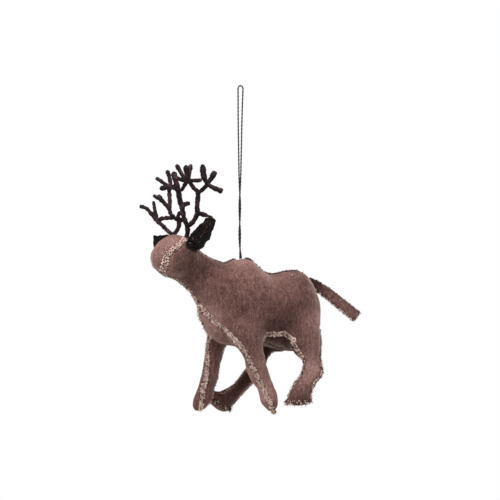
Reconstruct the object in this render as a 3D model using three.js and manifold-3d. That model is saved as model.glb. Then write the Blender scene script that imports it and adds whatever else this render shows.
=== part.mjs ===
// Velvet reindeer ornament on a doubled hanging cord. Millimetres, +Z up, the head towards -X and the
// reindeer's left side towards -Y. The origin is the inside top of the cord's loop.
import * as THREE from 'three';
import { mergeVertices } from 'three/addons/utils/BufferGeometryUtils.js';
import Module from 'manifold-3d';

const wasm = await Module();
wasm.setup();

const { CatmullRomCurve3, Matrix4, Vector2, Vector3 } = THREE;

// Fits and cuts
const fit_gap = 0.3;
const swing_gap = 0.5;
const sewn_tuck = 3;
const cut_overrun = 4;

// Hanging cord, its knot and the stitch that holds the knot
const cord_diameter = 0.8;
const cord_sides = 8;
const cord_steps = 72;
const loop_to_back = 114.5;
const knot_radius = 1.5;
const knot_depth = 2.3;
const anchor_thread = 0.7;
const slit_radius = 2.6;

// Torso
const torso_length = 87;
const torso_depth = 60;
const torso_width = 41;
const chest_reach = 31;
const back_ridge_share = 0.16;

// Neck and head
const neck_length = 46;
const neck_width = 28;
const head_length = 37;
const head_height = 30;
const head_width = 27;
const head_turn_degrees = 12;

// Legs
const leg_spread = 31;
const front_leg_length = 66;
const front_leg_width = 11.5;
const rear_leg_length = 60;
const thigh_width = 17;
const shank_width = 12;

// Seams: how wide the raw allowance stands
const seam_width = 2.4;
const seam_height = 1.1;

// Eyes and ears
const eye_diameter = 4.8;
const ear_length = 25;
const ear_width = 10.5;
const ear_thickness = 1.8;
const ear_cup = 2;

// Antlers
const antler_height = 48.7;
const antler_turn_degrees = 22;
const twig_diameter = 2.2;
const club_diameter = 3.6;
const antler_stem_length = 8;

// Tail
const tail_length = 41;
const tail_width = 7.4;
const tail_thickness = 2.4;

// Facets
const torso_rings = 22;
const torso_sides = 24;
const head_rings = 18;
const head_sides = 20;
const leg_rings = 18;
const limb_rings = 14;
const limb_sides = 14;
const strip_rings = 12;
const strip_sides = 14;
const bead_sides = 12;
const bead_rings = 8;
const twig_least_steps = 5;
const twig_sides = 6;
const seam_rings = 14;

const deer_sideways = new Vector3(0, 1, 0);

// Value in one column of a table of rows that start with their share of the length, on a smooth curve.
function along(table, share, column) {
  const last = table.length - 1;
  let row = 0;
  while (row < last - 1 && share > table[row + 1][0]) row += 1;
  const slope = (index) => {
    const low = Math.max(index - 1, 0);
    const high = Math.min(index + 1, last);
    return (table[high][column] - table[low][column]) / (table[high][0] - table[low][0]);
  };
  const span = table[row + 1][0] - table[row][0];
  const t = (share - table[row][0]) / span;
  const rise = t * t * (3 - 2 * t);
  const leave = t * (1 - t) * (1 - t) * span * slope(row);
  const arrive = t * t * (1 - t) * span * slope(row + 1);
  return table[row][column] * (1 - rise) + table[row + 1][column] * rise + leave - arrive;
}

// How far a form's section has opened at a share, with both of its ends rounded like an ellipse.
function roundedEnds(form, share) {
  const open = (near, reach) => (near >= reach ? 1 : Math.sqrt(1 - (1 - near / reach) ** 2));
  const start = open(Math.max(share, 0), form.start_round_share);
  return start * open(Math.max(1 - share, 0), form.end_round_share);
}

function spineOf(form, share) {
  return new Vector3(...[1, 2, 3].map((column) => along(form.stations, share, column)));
}

// The section's own axes at a share: ahead, sideways and upwards. Ahead is along the spine, or the one
// direction that the form gives for all of its sections.
function sectionAxes(form, share) {
  const step = 1 / 200;
  const ahead = form.ahead ? form.ahead.clone()
    : spineOf(form, Math.min(share + step, 1)).sub(spineOf(form, Math.max(share - step, 0)));
  ahead.normalize();
  const side = form.sideways.clone().addScaledVector(ahead, -form.sideways.dot(ahead)).normalize();
  return { ahead, side, up: new Vector3().crossVectors(ahead, side) };
}

// A point on a form: an oval section at a share of the spine, at an angle from sideways to upwards.
function pointOn(form, share, angle) {
  const { side, up } = sectionAxes(form, share);
  const open = roundedEnds(form, share);
  const cosine = Math.cos(angle);
  const sine = Math.sin(angle);
  const power = 2 / form.squareness;
  const pinch = 1 - form.ridge_share * Math.max(sine, 0) ** 2;
  const across = Math.sign(cosine) * Math.abs(cosine) ** power * along(form.stations, share, 4) * pinch;
  const rise = Math.sign(sine) * Math.abs(sine) ** power * along(form.stations, share, 5);
  const cupped = form.cup * cosine * cosine;
  const point = spineOf(form, share).addScaledVector(side, across * open);
  return point.addScaledVector(up, (rise + cupped) * open);
}

// The outward direction of a form's surface, from two small steps across it.
function outwardOn(form, share, angle) {
  const step = 1 / 500;
  const here = Math.min(Math.max(share, 3 * step), 1 - 3 * step);
  const alongStep = pointOn(form, here + step, angle).sub(pointOn(form, here - step, angle));
  const roundStep = pointOn(form, here, angle + step).sub(pointOn(form, here, angle - step));
  return new Vector3().crossVectors(roundStep, alongStep).normalize();
}

// A closed geometry from a grid of rings with a pole at each end.
function closedRings(start, rings, end) {
  const sides = rings[0].length;
  const points = [start, ...rings.flat(), end];
  const at = (ring, side) => 1 + ring * sides + (side % sides);
  const faces = [];
  for (let side = 0; side < sides; side += 1) {
    faces.push(0, at(0, side + 1), at(0, side));
    faces.push(points.length - 1, at(rings.length - 1, side), at(rings.length - 1, side + 1));
    for (let ring = 0; ring < rings.length - 1; ring += 1) {
      faces.push(at(ring, side), at(ring, side + 1), at(ring + 1, side));
      faces.push(at(ring, side + 1), at(ring + 1, side + 1), at(ring + 1, side));
    }
  }
  const geometry = new THREE.BufferGeometry().setFromPoints(points);
  geometry.setIndex(faces);
  return geometry;
}

function formGeometry(form) {
  const ring_turn = Math.PI / form.rings;
  const side_turn = 2 * Math.PI / form.sides;
  const shares = Array.from({ length: form.rings + 1 }, (_, ring) => (1 - Math.cos(ring_turn * ring)) / 2);
  const angles = Array.from({ length: form.sides }, (_, side) => side_turn * side);
  const rings = shares.slice(1, -1).map((share) => angles.map((angle) => pointOn(form, share, angle)));
  return closedRings(spineOf(form, 0), rings, spineOf(form, 1));
}

// The geometry with its shared vertices merged, on position alone.
function merged(geometry) {
  const bare = geometry.clone();
  for (const name of Object.keys(bare.attributes)) {
    if (name !== 'position') bare.deleteAttribute(name);
  }
  return mergeVertices(bare);
}

// The same geometry with every vertex moved outwards, as a cutter that leaves a gap.
function grown(geometry, gap) {
  const copy = merged(geometry);
  copy.computeVertexNormals();
  const place = new Vector3();
  const normal = new Vector3();
  for (let index = 0; index < copy.attributes.position.count; index += 1) {
    normal.fromBufferAttribute(copy.attributes.normal, index);
    place.fromBufferAttribute(copy.attributes.position, index).addScaledVector(normal, gap);
    copy.attributes.position.setXYZ(index, place.x, place.y, place.z);
  }
  copy.deleteAttribute('normal');
  return copy;
}

function solidOf(geometry) {
  const bare = merged(geometry);
  return new wasm.Manifold(new wasm.Mesh({
    numProp: 3,
    vertProperties: new Float32Array(bare.attributes.position.array),
    triVerts: new Uint32Array(bare.index.array),
  }));
}

function geometryOf(solid) {
  const mesh = solid.getMesh();
  const geometry = new THREE.BufferGeometry();
  geometry.setAttribute('position', new THREE.BufferAttribute(new Float32Array(mesh.vertProperties), 3));
  geometry.setIndex(new THREE.BufferAttribute(new Uint32Array(mesh.triVerts), 1));
  return geometry;
}

// The largest body that a cut leaves: a cut can leave crumbs beside it.
function mainBody(solid) {
  return solid.decompose().reduce((best, body) => (body.volume() > best.volume() ? body : best));
}

function cut(geometry, cutters) {
  let solid = solidOf(geometry);
  for (const cutter of cutters) solid = solid.subtract(solidOf(cutter));
  return geometryOf(mainBody(solid));
}

function join(geometries) {
  const solids = geometries.map(solidOf);
  return geometryOf(solids.reduce((whole, next) => whole.add(next)));
}

function form(stations, options) {
  return {
    stations, sideways: deer_sideways, ahead: null, rings: limb_rings, sides: limb_sides,
    squareness: 2, ridge_share: 0, cup: 0, start_round_share: 1 / 4, end_round_share: 1 / 4, ...options,
  };
}

// Torso: rows of share along it, then the back's and the belly's heights and the half-width as shares.
const torso_shares = [
  [0, -0.33, -0.85, 0.3], [0.12, -0.14, -0.9, 0.37], [0.25, -0.035, -0.955, 0.45],
  [0.35, 0, -0.985, 0.49], [0.43, -0.012, -1, 0.5], [0.49, -0.07, -1.008, 0.5],
  [0.54, -0.15, -1.015, 0.5], [0.59, -0.172, -1.018, 0.5], [0.67, -0.152, -1.025, 0.5],
  [0.78, -0.132, -1.03, 0.5], [0.88, -0.15, -1.01, 0.46], [1, -0.26, -0.97, 0.4],
];
const torso_form = form(
  torso_shares.map(([share, back, belly, half]) => [
    share, share * torso_length - chest_reach, 0, (back + belly) / 2 * torso_depth,
    half * torso_width, (back - belly) / 2 * torso_depth,
  ]),
  {
    ahead: new Vector3(1, 0, 0), rings: torso_rings, sides: torso_sides, squareness: 2.2,
    ridge_share: back_ridge_share, start_round_share: 0.2, end_round_share: 0.17,
  },
);

// Neck: from inside the head down to inside the torso, as shares of its length and width.
const neck_slope = -0.62;
const neck_shares = [
  [0, -1.06, -0.02, 0.4, 0.42], [0.25, -0.84, -0.1, 0.4, 0.47], [0.45, -0.66, -0.235, 0.43, 0.49],
  [0.65, -0.5, -0.37, 0.5, 0.6], [0.85, -0.33, -0.47, 0.58, 0.74], [1, -0.15, -0.58, 0.6, 0.8],
];
const neck_form = form(
  neck_shares.map(([share, fore, rise, half, tall]) => [
    share, fore * neck_length, 0, rise * neck_length, half * neck_width, tall * neck_width,
  ]),
  { ahead: new Vector3(1, 0, neck_slope), start_round_share: 0.2, end_round_share: 0.2 },
);

// Head: from the nose to the back of the skull, turned a little towards the reindeer's left.
const head_pivot_share = -0.74;
const head_pivot = new Vector3(head_pivot_share * neck_length, 0, 0);
const head_shares = [
  [0, -0.9, -0.07, 0.38, 0.36], [0.2, -0.7, -0.035, 0.44, 0.44], [0.45, -0.45, 0.01, 0.5, 0.5],
  [0.7, -0.2, 0.07, 0.5, 0.49], [1, 0.1, 0.15, 0.44, 0.42],
];
const head_place = new Matrix4().makeRotationZ(THREE.MathUtils.degToRad(head_turn_degrees));
head_place.setPosition(head_pivot);
const head_form = form(
  head_shares.map(([share, fore, rise, half, tall]) => {
    const place = new Vector3(fore * head_length, 0, rise * head_length).applyMatrix4(head_place);
    return [share, place.x, place.y, place.z, half * head_width, tall * head_height];
  }),
  {
    sideways: deer_sideways.clone().transformDirection(head_place),
    rings: head_rings, sides: head_sides, start_round_share: 0.34, end_round_share: 0.45,
  },
);

// A leg's form: rows of share, then fore, out and down as shares of its length, then its half-widths as
// shares of its width. The hip is its place on the torso, and side is -1 for the left and 1 for the right.
function legForm(shares, hip, side, length, width, options) {
  const stations = shares.map(([share, fore, out, down, half, deep]) => [
    share, hip.x + fore * length, side * (leg_spread / 2 + out * length), hip.z - down * length,
    half * width, deep * width,
  ]);
  return form(stations, options);
}

const hipAt = (along_share, down_share) => new Vector3(
  along_share * torso_length - chest_reach, 0, -down_share * torso_depth,
);
const shoulder = hipAt(0.33, 0.62);
const haunch = hipAt(0.8, 0.62);

const front_left_shares = [
  [0, 0, -0.02, 0, 0.7, 1.35], [0.2, 0, 0.02, 0.2, 0.66, 1.2], [0.36, 0.04, 0.02, 0.34, 0.58, 0.8],
  [0.52, 0.11, 0, 0.53, 0.5, 0.6], [0.7, 0.175, -0.01, 0.7, 0.47, 0.55],
  [0.86, 0.235, -0.01, 0.86, 0.5, 0.54], [1, 0.275, -0.01, 1, 0.46, 0.42],
];
const front_right_shares = [
  [0, -0.05, -0.04, 0, 0.7, 1.1], [0.2, -0.11, -0.03, 0.2, 0.6, 0.85], [0.36, -0.16, -0.03, 0.36, 0.5, 0.64],
  [0.52, -0.195, -0.03, 0.53, 0.46, 0.57], [0.7, -0.24, -0.04, 0.7, 0.46, 0.57],
  [0.86, -0.3, -0.05, 0.86, 0.5, 0.58], [1, -0.36, -0.06, 0.985, 0.46, 0.5],
];
const rear_left_thigh_shares = [
  [0, 0, -0.04, -0.05, 0.5, 0.75], [0.35, 0, 0, 0.16, 0.52, 0.76], [0.7, 0.04, 0, 0.38, 0.44, 0.56],
  [1, 0.08, 0, 0.58, 0.36, 0.4],
];
const rear_left_shank_shares = [
  [0, 0.075, 0, 0.44, 0.5, 0.5], [0.25, 0.1, 0, 0.56, 0.5, 0.62], [0.5, 0.1, 0, 0.68, 0.5, 0.69],
  [0.75, 0.01, 0, 0.81, 0.5, 0.69], [0.9, -0.045, 0, 0.94, 0.52, 0.8], [1, -0.06, 0, 1.02, 0.54, 0.82],
];
const rear_right_thigh_shares = [
  [0, -0.02, -0.04, -0.05, 0.5, 0.75], [0.4, -0.06, 0, 0.2, 0.5, 0.72], [0.75, -0.13, 0.01, 0.42, 0.42, 0.48],
  [1, -0.22, 0.02, 0.55, 0.36, 0.38],
];
const rear_right_shank_shares = [
  [0, -0.17, 0.02, 0.47, 0.47, 0.47], [0.3, -0.33, 0.05, 0.635, 0.44, 0.43],
  [0.6, -0.52, 0.09, 0.8, 0.44, 0.48], [0.8, -0.645, 0.12, 0.9, 0.48, 0.64],
  [1, -0.775, 0.14, 0.995, 0.52, 0.82],
];

const foreleg = (shares, side) => legForm(shares, shoulder, side, front_leg_length, front_leg_width, {
  rings: leg_rings, end_round_share: 0.12, start_round_share: 0.25,
});
const thigh = (shares, side) => legForm(shares, haunch, side, rear_leg_length, thigh_width, {
  end_round_share: 0.3, start_round_share: 0.35,
});
const shank = (shares, side, ahead) => legForm(shares, haunch, side, rear_leg_length, shank_width, {
  ahead, end_round_share: 0.04, start_round_share: 0.3,
});
const front_left_form = foreleg(front_left_shares, -1);
const front_right_form = foreleg(front_right_shares, 1);
const rear_left_thigh_form = thigh(rear_left_thigh_shares, -1);
const rear_right_thigh_form = thigh(rear_right_thigh_shares, 1);
const rear_left_shank_form = shank(rear_left_shank_shares, -1, new Vector3(0, 0, -1));
const rear_right_shank_form = shank(rear_right_shank_shares, 1, null);

// The knot, the ring stitch round it and the pocket in the back that holds them share one centre, so each
// can tilt in the next.
const knot_centre = new Vector3(0, 0, -knot_depth);
const stitch_ring_radius = knot_radius + fit_gap + anchor_thread / 2;
const pocket_radius = stitch_ring_radius + anchor_thread / 2 + fit_gap;

function ball(radius, centre, across, around) {
  return new THREE.SphereGeometry(radius, across, around).translate(centre.x, centre.y, centre.z);
}

function slit() {
  const height = knot_depth + cut_overrun;
  const tube = new THREE.CylinderGeometry(slit_radius, slit_radius, height, limb_sides).rotateX(Math.PI / 2);
  return tube.translate(0, 0, height / 2 - knot_depth);
}

function anchorRing() {
  const ring = new THREE.TorusGeometry(stitch_ring_radius, anchor_thread / 2, twig_sides, limb_sides);
  return ring.translate(knot_centre.x, knot_centre.y, knot_centre.z);
}

// Eyes: beads set a little into the sides of the head, below the front of the ears.
const eye_share = 0.7;
const eye_angle = { left: Math.PI - 0.62, right: 0.62 };
const eye_stand_share = 0.35;

function eyeGeometry(side) {
  const out = outwardOn(head_form, eye_share, eye_angle[side]);
  const centre = pointOn(head_form, eye_share, eye_angle[side]);
  centre.addScaledVector(out, eye_stand_share * eye_diameter / 2);
  return ball(eye_diameter / 2, centre, bead_sides, bead_rings);
}

// Antlers: twigs are runs of points, as shares of the antler's height, in a fan that is turned about its
// root: to the rear, to the reindeer's right, and up. A club swells at a twig's tip.
const left_antler = {
  root_share: 0.79,
  root_angle: Math.PI / 2 + 0.26,
  sprays: {
    left_antler_beam: [
      [
        [0, 0, 0], [-0.015, -0.02, 0.118], [-0.044, -0.04, 0.197], [-0.036, -0.06, 0.275],
        [-0.067, -0.1, 0.393], [-0.099, -0.13, 0.473], [-0.13, -0.17, 0.59], [-0.134, -0.19, 0.662],
        [-0.145, -0.2, 0.748], [-0.197, -0.22, 0.881],
      ],
      [[-0.134, -0.19, 0.662], [-0.225, -0.2, 0.645], [-0.288, -0.21, 0.653], [-0.374, -0.22, 0.63]],
      [[-0.063, -0.1, 0.39], [-0.004, -0.17, 0.42], [0.051, -0.21, 0.429]],
    ],
    left_antler_rear_fork: [
      [
        [-0.03, -0.04, 0.17], [0.04, -0.02, 0.17], [0.099, 0, 0.229], [0.13, 0, 0.284],
        [0.122, -0.01, 0.393], [0.137, -0.02, 0.511], [0.145, -0.03, 0.599],
      ],
      [[0.13, 0, 0.284], [0.235, 0.02, 0.28], [0.335, 0.03, 0.25]],
    ],
    left_antler_rear_crown: [
      [
        [0.145, -0.03, 0.575], [0.208, -0.03, 0.653], [0.263, -0.03, 0.7], [0.216, -0.06, 0.786],
        [0.197, -0.08, 0.975],
      ],
      [[0.263, -0.03, 0.7], [0.303, 0.02, 0.763], [0.362, 0.05, 0.881]],
      [[0.263, -0.03, 0.7], [0.334, -0.06, 0.655], [0.475, -0.12, 0.614]],
    ],
    left_antler_front_crown: [
      [
        [0.14, -0.03, 0.62], [0.059, -0.05, 0.692], [0.012, -0.06, 0.74], [-0.004, -0.1, 0.86],
        [-0.012, -0.12, 0.96],
      ],
      [[0.012, -0.06, 0.74], [0.025, 0, 0.86], [0.047, 0.04, 0.975]],
      [[0.012, -0.06, 0.74], [-0.059, -0.02, 0.765], [-0.11, 0.02, 0.86], [-0.148, 0.04, 0.975]],
      [[0.012, -0.06, 0.74], [0.059, -0.12, 0.748], [0.2, -0.17, 0.759]],
      [[0.012, -0.06, 0.74], [-0.019, -0.01, 0.69], [-0.075, 0.06, 0.599]],
    ],
  },
};
const right_antler = {
  root_share: 0.64,
  root_angle: Math.PI / 2 - 0.42,
  sprays: {
    right_antler_beam: [
      [
        [0, 0, 0], [0.047, 0.01, 0.062], [0.071, 0.02, 0.133], [0.025, 0.03, 0.2], [-0.023, 0.05, 0.274],
        [-0.032, 0.07, 0.345], [-0.027, 0.09, 0.448], [-0.04, 0.11, 0.542], [-0.048, 0.12, 0.589],
      ],
      [[0.02, 0.03, 0.2], [0.07, 0.01, 0.25], [0.103, 0, 0.337]],
    ],
    right_antler_front_fork: [
      [
        [0, 0, 0.02], [-0.079, 0.03, 0.078], [-0.166, 0.06, 0.149], [-0.221, 0.08, 0.18],
        [-0.28, 0.1, 0.245], [-0.362, 0.12, 0.345], [-0.456, 0.14, 0.377],
      ],
      [[-0.221, 0.08, 0.18], [-0.236, 0.12, 0.274], [-0.263, 0.16, 0.44]],
      [[-0.221, 0.08, 0.18], [-0.166, 0.06, 0.205], [-0.048, 0.04, 0.219], [0, 0.035, 0.23]],
    ],
    right_antler_mid_crown: [
      [[-0.032, 0.07, 0.34], [-0.11, 0.1, 0.416], [-0.189, 0.11, 0.48], [-0.26, 0.12, 0.526]],
      [[-0.11, 0.1, 0.416], [-0.14, 0.14, 0.46], [-0.178, 0.19, 0.54]],
    ],
    right_antler_top_crown: [
      [[-0.048, 0.12, 0.57], [-0.114, 0.15, 0.667], [-0.221, 0.18, 0.755]],
      [[-0.048, 0.12, 0.6], [-0.01, 0.1, 0.67], [-0.048, 0.12, 0.786], [-0.08, 0.14, 0.888]],
    ],
  },
};
const club_start_share = 0.7;

// A twig: a thin round tube through its points that swells to a club at its tip.
function twigGeometry(points, place) {
  const placed = (shares) => new Vector3(...shares).multiplyScalar(antler_height).applyMatrix4(place);
  const path = points.map(placed);
  const curve = new CatmullRomCurve3(path, false, 'centripetal');
  const steps = twig_least_steps + Math.round(curve.getLength() / (2 * twig_diameter));
  const stations = [];
  for (let step = 0; step <= steps; step += 1) {
    const share = step / steps;
    const point = curve.getPointAt(share);
    const swell = THREE.MathUtils.smoothstep(share, club_start_share, (1 + club_start_share) / 2);
    const radius = (twig_diameter + (club_diameter - twig_diameter) * swell) / 2;
    stations.push([share, point.x, point.y, point.z, radius, radius]);
  }
  const round = club_diameter / curve.getLength() / 2;
  return formGeometry(form(stations, {
    sideways: deer_sideways, rings: steps + 2, sides: twig_sides,
    start_round_share: round, end_round_share: round,
  }));
}

function antlerPlace(antler) {
  const place = new Matrix4().makeRotationZ(-THREE.MathUtils.degToRad(antler_turn_degrees));
  return place.setPosition(pointOn(head_form, antler.root_share, antler.root_angle));
}

// The straight stem of an antler's beam, sunk into the head, with or without its clearance.
function stemGeometry(antler, gap) {
  const radius = twig_diameter / 2 + gap;
  const length = antler_stem_length + gap + twig_diameter;
  const stem = new THREE.CylinderGeometry(radius, radius, length, bead_sides).rotateX(Math.PI / 2);
  stem.translate(0, 0, twig_diameter - length / 2);
  return stem.applyMatrix4(antlerPlace(antler));
}

// The sprays of one antler, each cut by those before it. The first is the beam, with its stem; the others
// are also cut clear of the head.
function antlerGeometries(antler) {
  const place = antlerPlace(antler);
  const done = [];
  for (const [name, twigs] of Object.entries(antler.sprays)) {
    const parts = twigs.map((points) => twigGeometry(points, place));
    if (done.length === 0) parts.push(stemGeometry(antler, 0));
    const whole = join(parts);
    const before = [head_geometry, ...done.flatMap((spray) => spray.parts)];
    const cutters = before.map((part) => grown(part, fit_gap));
    done.push({ name, parts, geometry: done.length === 0 ? whole : cut(whole, cutters) });
  }
  return done;
}

// Ears: cupped leaves on spines that start inside the head's side, as shares of their length, their width
// and their thickness. They are pinched where they are sewn, so that they fold there.
const ear_halves_shares = [
  [0, 0.3, 0.3], [0.15, 0.4, 0.4], [0.5, 0.5, 0.5], [0.8, 0.42, 0.5], [1, 0.28, 0.4],
];
const ear_root_share = 0.8;
const ear_root_angle = { left: Math.PI - 0.5, right: 0.5 };
const ear_lean = {
  left: new Vector3(0.44, -0.3, 0.75).normalize(),
  right: new Vector3(-0.52, 0.83, 0.06).normalize(),
};
const ear_sideways = {
  left: new Vector3(0.8, -0.3, -0.5).normalize(),
  right: new Vector3(0.1, -0.1, 1).normalize(),
};

function earGeometry(side) {
  const root = pointOn(head_form, ear_root_share, ear_root_angle[side]);
  const stations = ear_halves_shares.map(([share, half, thick]) => {
    const place = root.clone().addScaledVector(ear_lean[side], share * ear_length - sewn_tuck);
    return [share, place.x, place.y, place.z, half * ear_width, thick * ear_thickness];
  });
  return formGeometry(form(stations, {
    sideways: ear_sideways[side], rings: strip_rings, sides: strip_sides, cup: ear_cup,
    start_round_share: 0.05, end_round_share: 0.2,
  }));
}

// Tail: a flat strip on edge, from the top of the rump, with a slight bend, pinched where it is sewn.
const tail_root_share = 0.94;
const tail_shares = [
  [0, 0, 0, 0.36, 0.16], [0.2, 0.17, 0.1, 0.42, 0.2], [0.4, 0.34, 0.22, 0.5, 0.5],
  [0.7, 0.59, 0.39, 0.5, 0.5], [1, 0.84, 0.56, 0.5, 0.5],
];

function tailGeometry() {
  const root = pointOn(torso_form, tail_root_share, Math.PI / 2);
  const stations = tail_shares.map(([share, aft, down, half, thick]) => [
    share, root.x + aft * tail_length - sewn_tuck, 0, root.z - down * tail_length + sewn_tuck,
    thick * tail_thickness, half * tail_width,
  ]);
  return formGeometry(form(stations, {
    rings: strip_rings, sides: strip_sides, squareness: 4, start_round_share: 0.03, end_round_share: 0.03,
  }));
}

// Seams: raw allowances that lie along the forms, a gap clear of the skin. A row is the form that carries
// the seam there, the share along it and the share of a full turn round it.
function mirrored(rows, partners) {
  return rows.map(([carrier, share, turn]) => [partners.get(carrier) ?? carrier, share, 1 / 2 - turn]);
}
const leg_partners = new Map([
  [front_left_form, front_right_form], [rear_left_thigh_form, rear_right_thigh_form],
]);
const head_seam_shares = [
  [head_form, 0.66, 0.35], [head_form, 0.52, 0.394], [head_form, 0.38, 0.417], [head_form, 0.27, 0.431],
  [head_form, 0.17, 0.44], [head_form, 0.12, 0.48], [head_form, 0.09, 0.56], [head_form, 0.09, 0.65],
];
const chest_seam_shares = [
  [neck_form, 0.46, 0.7], [neck_form, 0.57, 0.694], [torso_form, 0.04, 0.528], [torso_form, 0.06, 0.572],
  [torso_form, 0.11, 0.594], [torso_form, 0.17, 0.613], [torso_form, 0.22, 0.628],
];
const belly_seam_shares = [
  [torso_form, 0.45, 0.625], [torso_form, 0.5, 0.606], [torso_form, 0.57, 0.59], [torso_form, 0.62, 0.59],
  [rear_left_thigh_form, 0.46, 0.68], [rear_left_thigh_form, 0.6, 0.667], [rear_left_thigh_form, 0.74, 0.63],
];
const seams = {
  back_seam: [0.42, 0.5, 0.58, 0.68, 0.78, 0.88].map((share) => [torso_form, share, 1 / 4]),
  left_head_seam: head_seam_shares,
  right_head_seam: [
    [head_form, 0.64, 0.15], [head_form, 0.52, 0.1], [head_form, 0.41, 0.06], [head_form, 0.31, 0.03],
    [head_form, 0.24, 0], [head_form, 0.2, -0.06], [head_form, 0.18, -0.14],
  ],
  left_chest_seam: chest_seam_shares,
  right_chest_seam: mirrored(chest_seam_shares, leg_partners),
  left_leg_seam: [
    [front_left_form, 0.24, 0.64], [front_left_form, 0.34, 0.61], [front_left_form, 0.43, 0.583],
    [front_left_form, 0.52, 0.578], [front_left_form, 0.67, 0.55], [front_left_form, 0.84, 0.55],
    [front_left_form, 0.95, 0.54],
  ],
  right_leg_seam: [
    [front_right_form, 0.42, 0.66], [front_right_form, 0.58, 0.639], [front_right_form, 0.79, 0.6],
    [front_right_form, 0.94, 0.565],
  ],
  left_belly_seam: belly_seam_shares,
  right_belly_seam: mirrored(belly_seam_shares, leg_partners),
};

function seamGeometry(rows) {
  const lift = fit_gap + seam_height / 2;
  const stations = rows.map(([carrier, share, turn], index) => {
    const angle = 2 * Math.PI * turn;
    const place = pointOn(carrier, share, angle).addScaledVector(outwardOn(carrier, share, angle), lift);
    return [index / (rows.length - 1), place.x, place.y, place.z, seam_width / 2, seam_height / 2];
  });
  const middle = rows[Math.floor(rows.length / 2)];
  const out = outwardOn(middle[0], middle[1], 2 * Math.PI * middle[2]);
  const ahead = spineOf(form(stations), 1).sub(spineOf(form(stations), 0));
  return formGeometry(form(stations, {
    sideways: ahead.cross(out).normalize(), rings: seam_rings, sides: twig_sides,
    start_round_share: 0.04, end_round_share: 0.04,
  }));
}

const cord_route = [
  [0.6, 0, -115], [0.6, 0, -113.5], [0, 0.6, -106], [-0.6, 0, -97.5], [0, -0.6, -88.5], [0.6, 0, -79],
  [0, 0.6, -69.5], [-0.62, 0, -60], [-0.85, 0, -48], [-1.1, 0, -36], [-1.32, 0, -24], [-1.55, 0, -12],
  [-1.7, 0, -4], [-1.7, 0, -1.3], [-1.2, 0, -0.1], [0, 0, 0.4], [1.2, 0, -0.1], [1.7, 0, -1.3],
  [1.7, 0, -4], [1.55, 0, -12], [1.32, 0, -24], [1.1, 0, -36], [0.85, 0, -48], [0.62, 0, -60],
  [0, -0.6, -69.5], [-0.6, 0, -79], [0, 0.6, -88.5], [0.6, 0, -97.5], [0, -0.6, -106], [-0.6, 0, -113.5],
  [-0.6, 0, -115],
];

function cordGeometry() {
  const curve = new CatmullRomCurve3(cord_route.map((point) => new Vector3(...point)), false, 'centripetal');
  const section = new THREE.Shape();
  for (let side = 0; side < cord_sides; side += 1) {
    const angle = 2 * Math.PI * side / cord_sides;
    const corner = new Vector2(Math.cos(angle), Math.sin(angle)).multiplyScalar(cord_diameter / 2);
    if (side === 0) section.moveTo(corner.x, corner.y);
    else section.lineTo(corner.x, corner.y);
  }
  return new THREE.ExtrudeGeometry(section, { steps: cord_steps, extrudePath: curve });
}

// Materials
const velvet = { color: 0x7a5a55, roughness: 0.9 };
const raw_edge = { color: 0xe0c4b8, roughness: 0.95 };
const ear_velvet = { color: 0x1a1814, roughness: 0.9 };
const bead = { color: 0x0a0a0a, roughness: 0.12 };
const wrapped_wire = { color: 0x3c2a2e, roughness: 0.8 };
const cord_thread = { color: 0x3a2a24, roughness: 0.85 };

const ornament = new THREE.Group();
const deer = new THREE.Group();
deer.position.z = -loop_to_back;
ornament.add(deer);

function addPiece(group, name, geometry, look) {
  const mesh = new THREE.Mesh(geometry, new THREE.MeshStandardMaterial({ metalness: 0, ...look }));
  mesh.name = name;
  group.add(mesh);
}

const head_geometry = formGeometry(head_form);
const torso_geometry = formGeometry(torso_form);
const neck_geometry = formGeometry(neck_form);
const pocket = ball(pocket_radius, knot_centre, limb_sides, bead_sides);
const cutterOf = (carrier) => grown(formGeometry(carrier), fit_gap);
const torso_cutter = cutterOf(torso_form);
const eyes = { left: eyeGeometry('left'), right: eyeGeometry('right') };

addPiece(deer, 'torso', cut(torso_geometry, [pocket, slit()]), velvet);
addPiece(deer, 'neck', cut(neck_geometry, [torso_cutter]), velvet);
addPiece(deer, 'head', cut(head_geometry, [
  torso_cutter, cutterOf(neck_form), grown(eyes.left, fit_gap), grown(eyes.right, fit_gap),
  stemGeometry(left_antler, fit_gap), stemGeometry(right_antler, fit_gap),
]), velvet);

// Each leg's pieces, with the forms that cut them besides the torso.
const leg_pieces = [
  ['front_left_leg', front_left_form, []],
  ['front_right_leg', front_right_form, []],
  ['rear_left_thigh', rear_left_thigh_form, []],
  ['rear_right_thigh', rear_right_thigh_form, []],
  ['rear_left_shank', rear_left_shank_form, [rear_left_thigh_form]],
  ['rear_right_shank', rear_right_shank_form, [rear_right_thigh_form, front_right_form]],
];
for (const [name, leg, carriers] of leg_pieces) {
  addPiece(deer, name, cut(formGeometry(leg), [torso_cutter, ...carriers.map(cutterOf)]), velvet);
}

for (const antler of [left_antler, right_antler]) {
  for (const spray of antlerGeometries(antler)) addPiece(deer, spray.name, spray.geometry, wrapped_wire);
}
for (const side of ['left', 'right']) {
  const cutters = [head_geometry, neck_geometry, eyes[side]].map((carrier) => grown(carrier, swing_gap));
  addPiece(deer, `${side}_eye`, eyes[side], bead);
  addPiece(deer, `${side}_ear`, cut(earGeometry(side), cutters), ear_velvet);
}
addPiece(deer, 'tail', cut(tailGeometry(), [grown(torso_geometry, swing_gap)]), velvet);

for (const [name, rows] of Object.entries(seams)) {
  const foreleg_form = name.startsWith('left') ? front_left_form : front_right_form;
  const carriers = new Set([torso_form, foreleg_form, ...rows.map(([carrier]) => carrier)]);
  addPiece(deer, name, cut(seamGeometry(rows), Array.from(carriers, cutterOf)), raw_edge);
}

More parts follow.
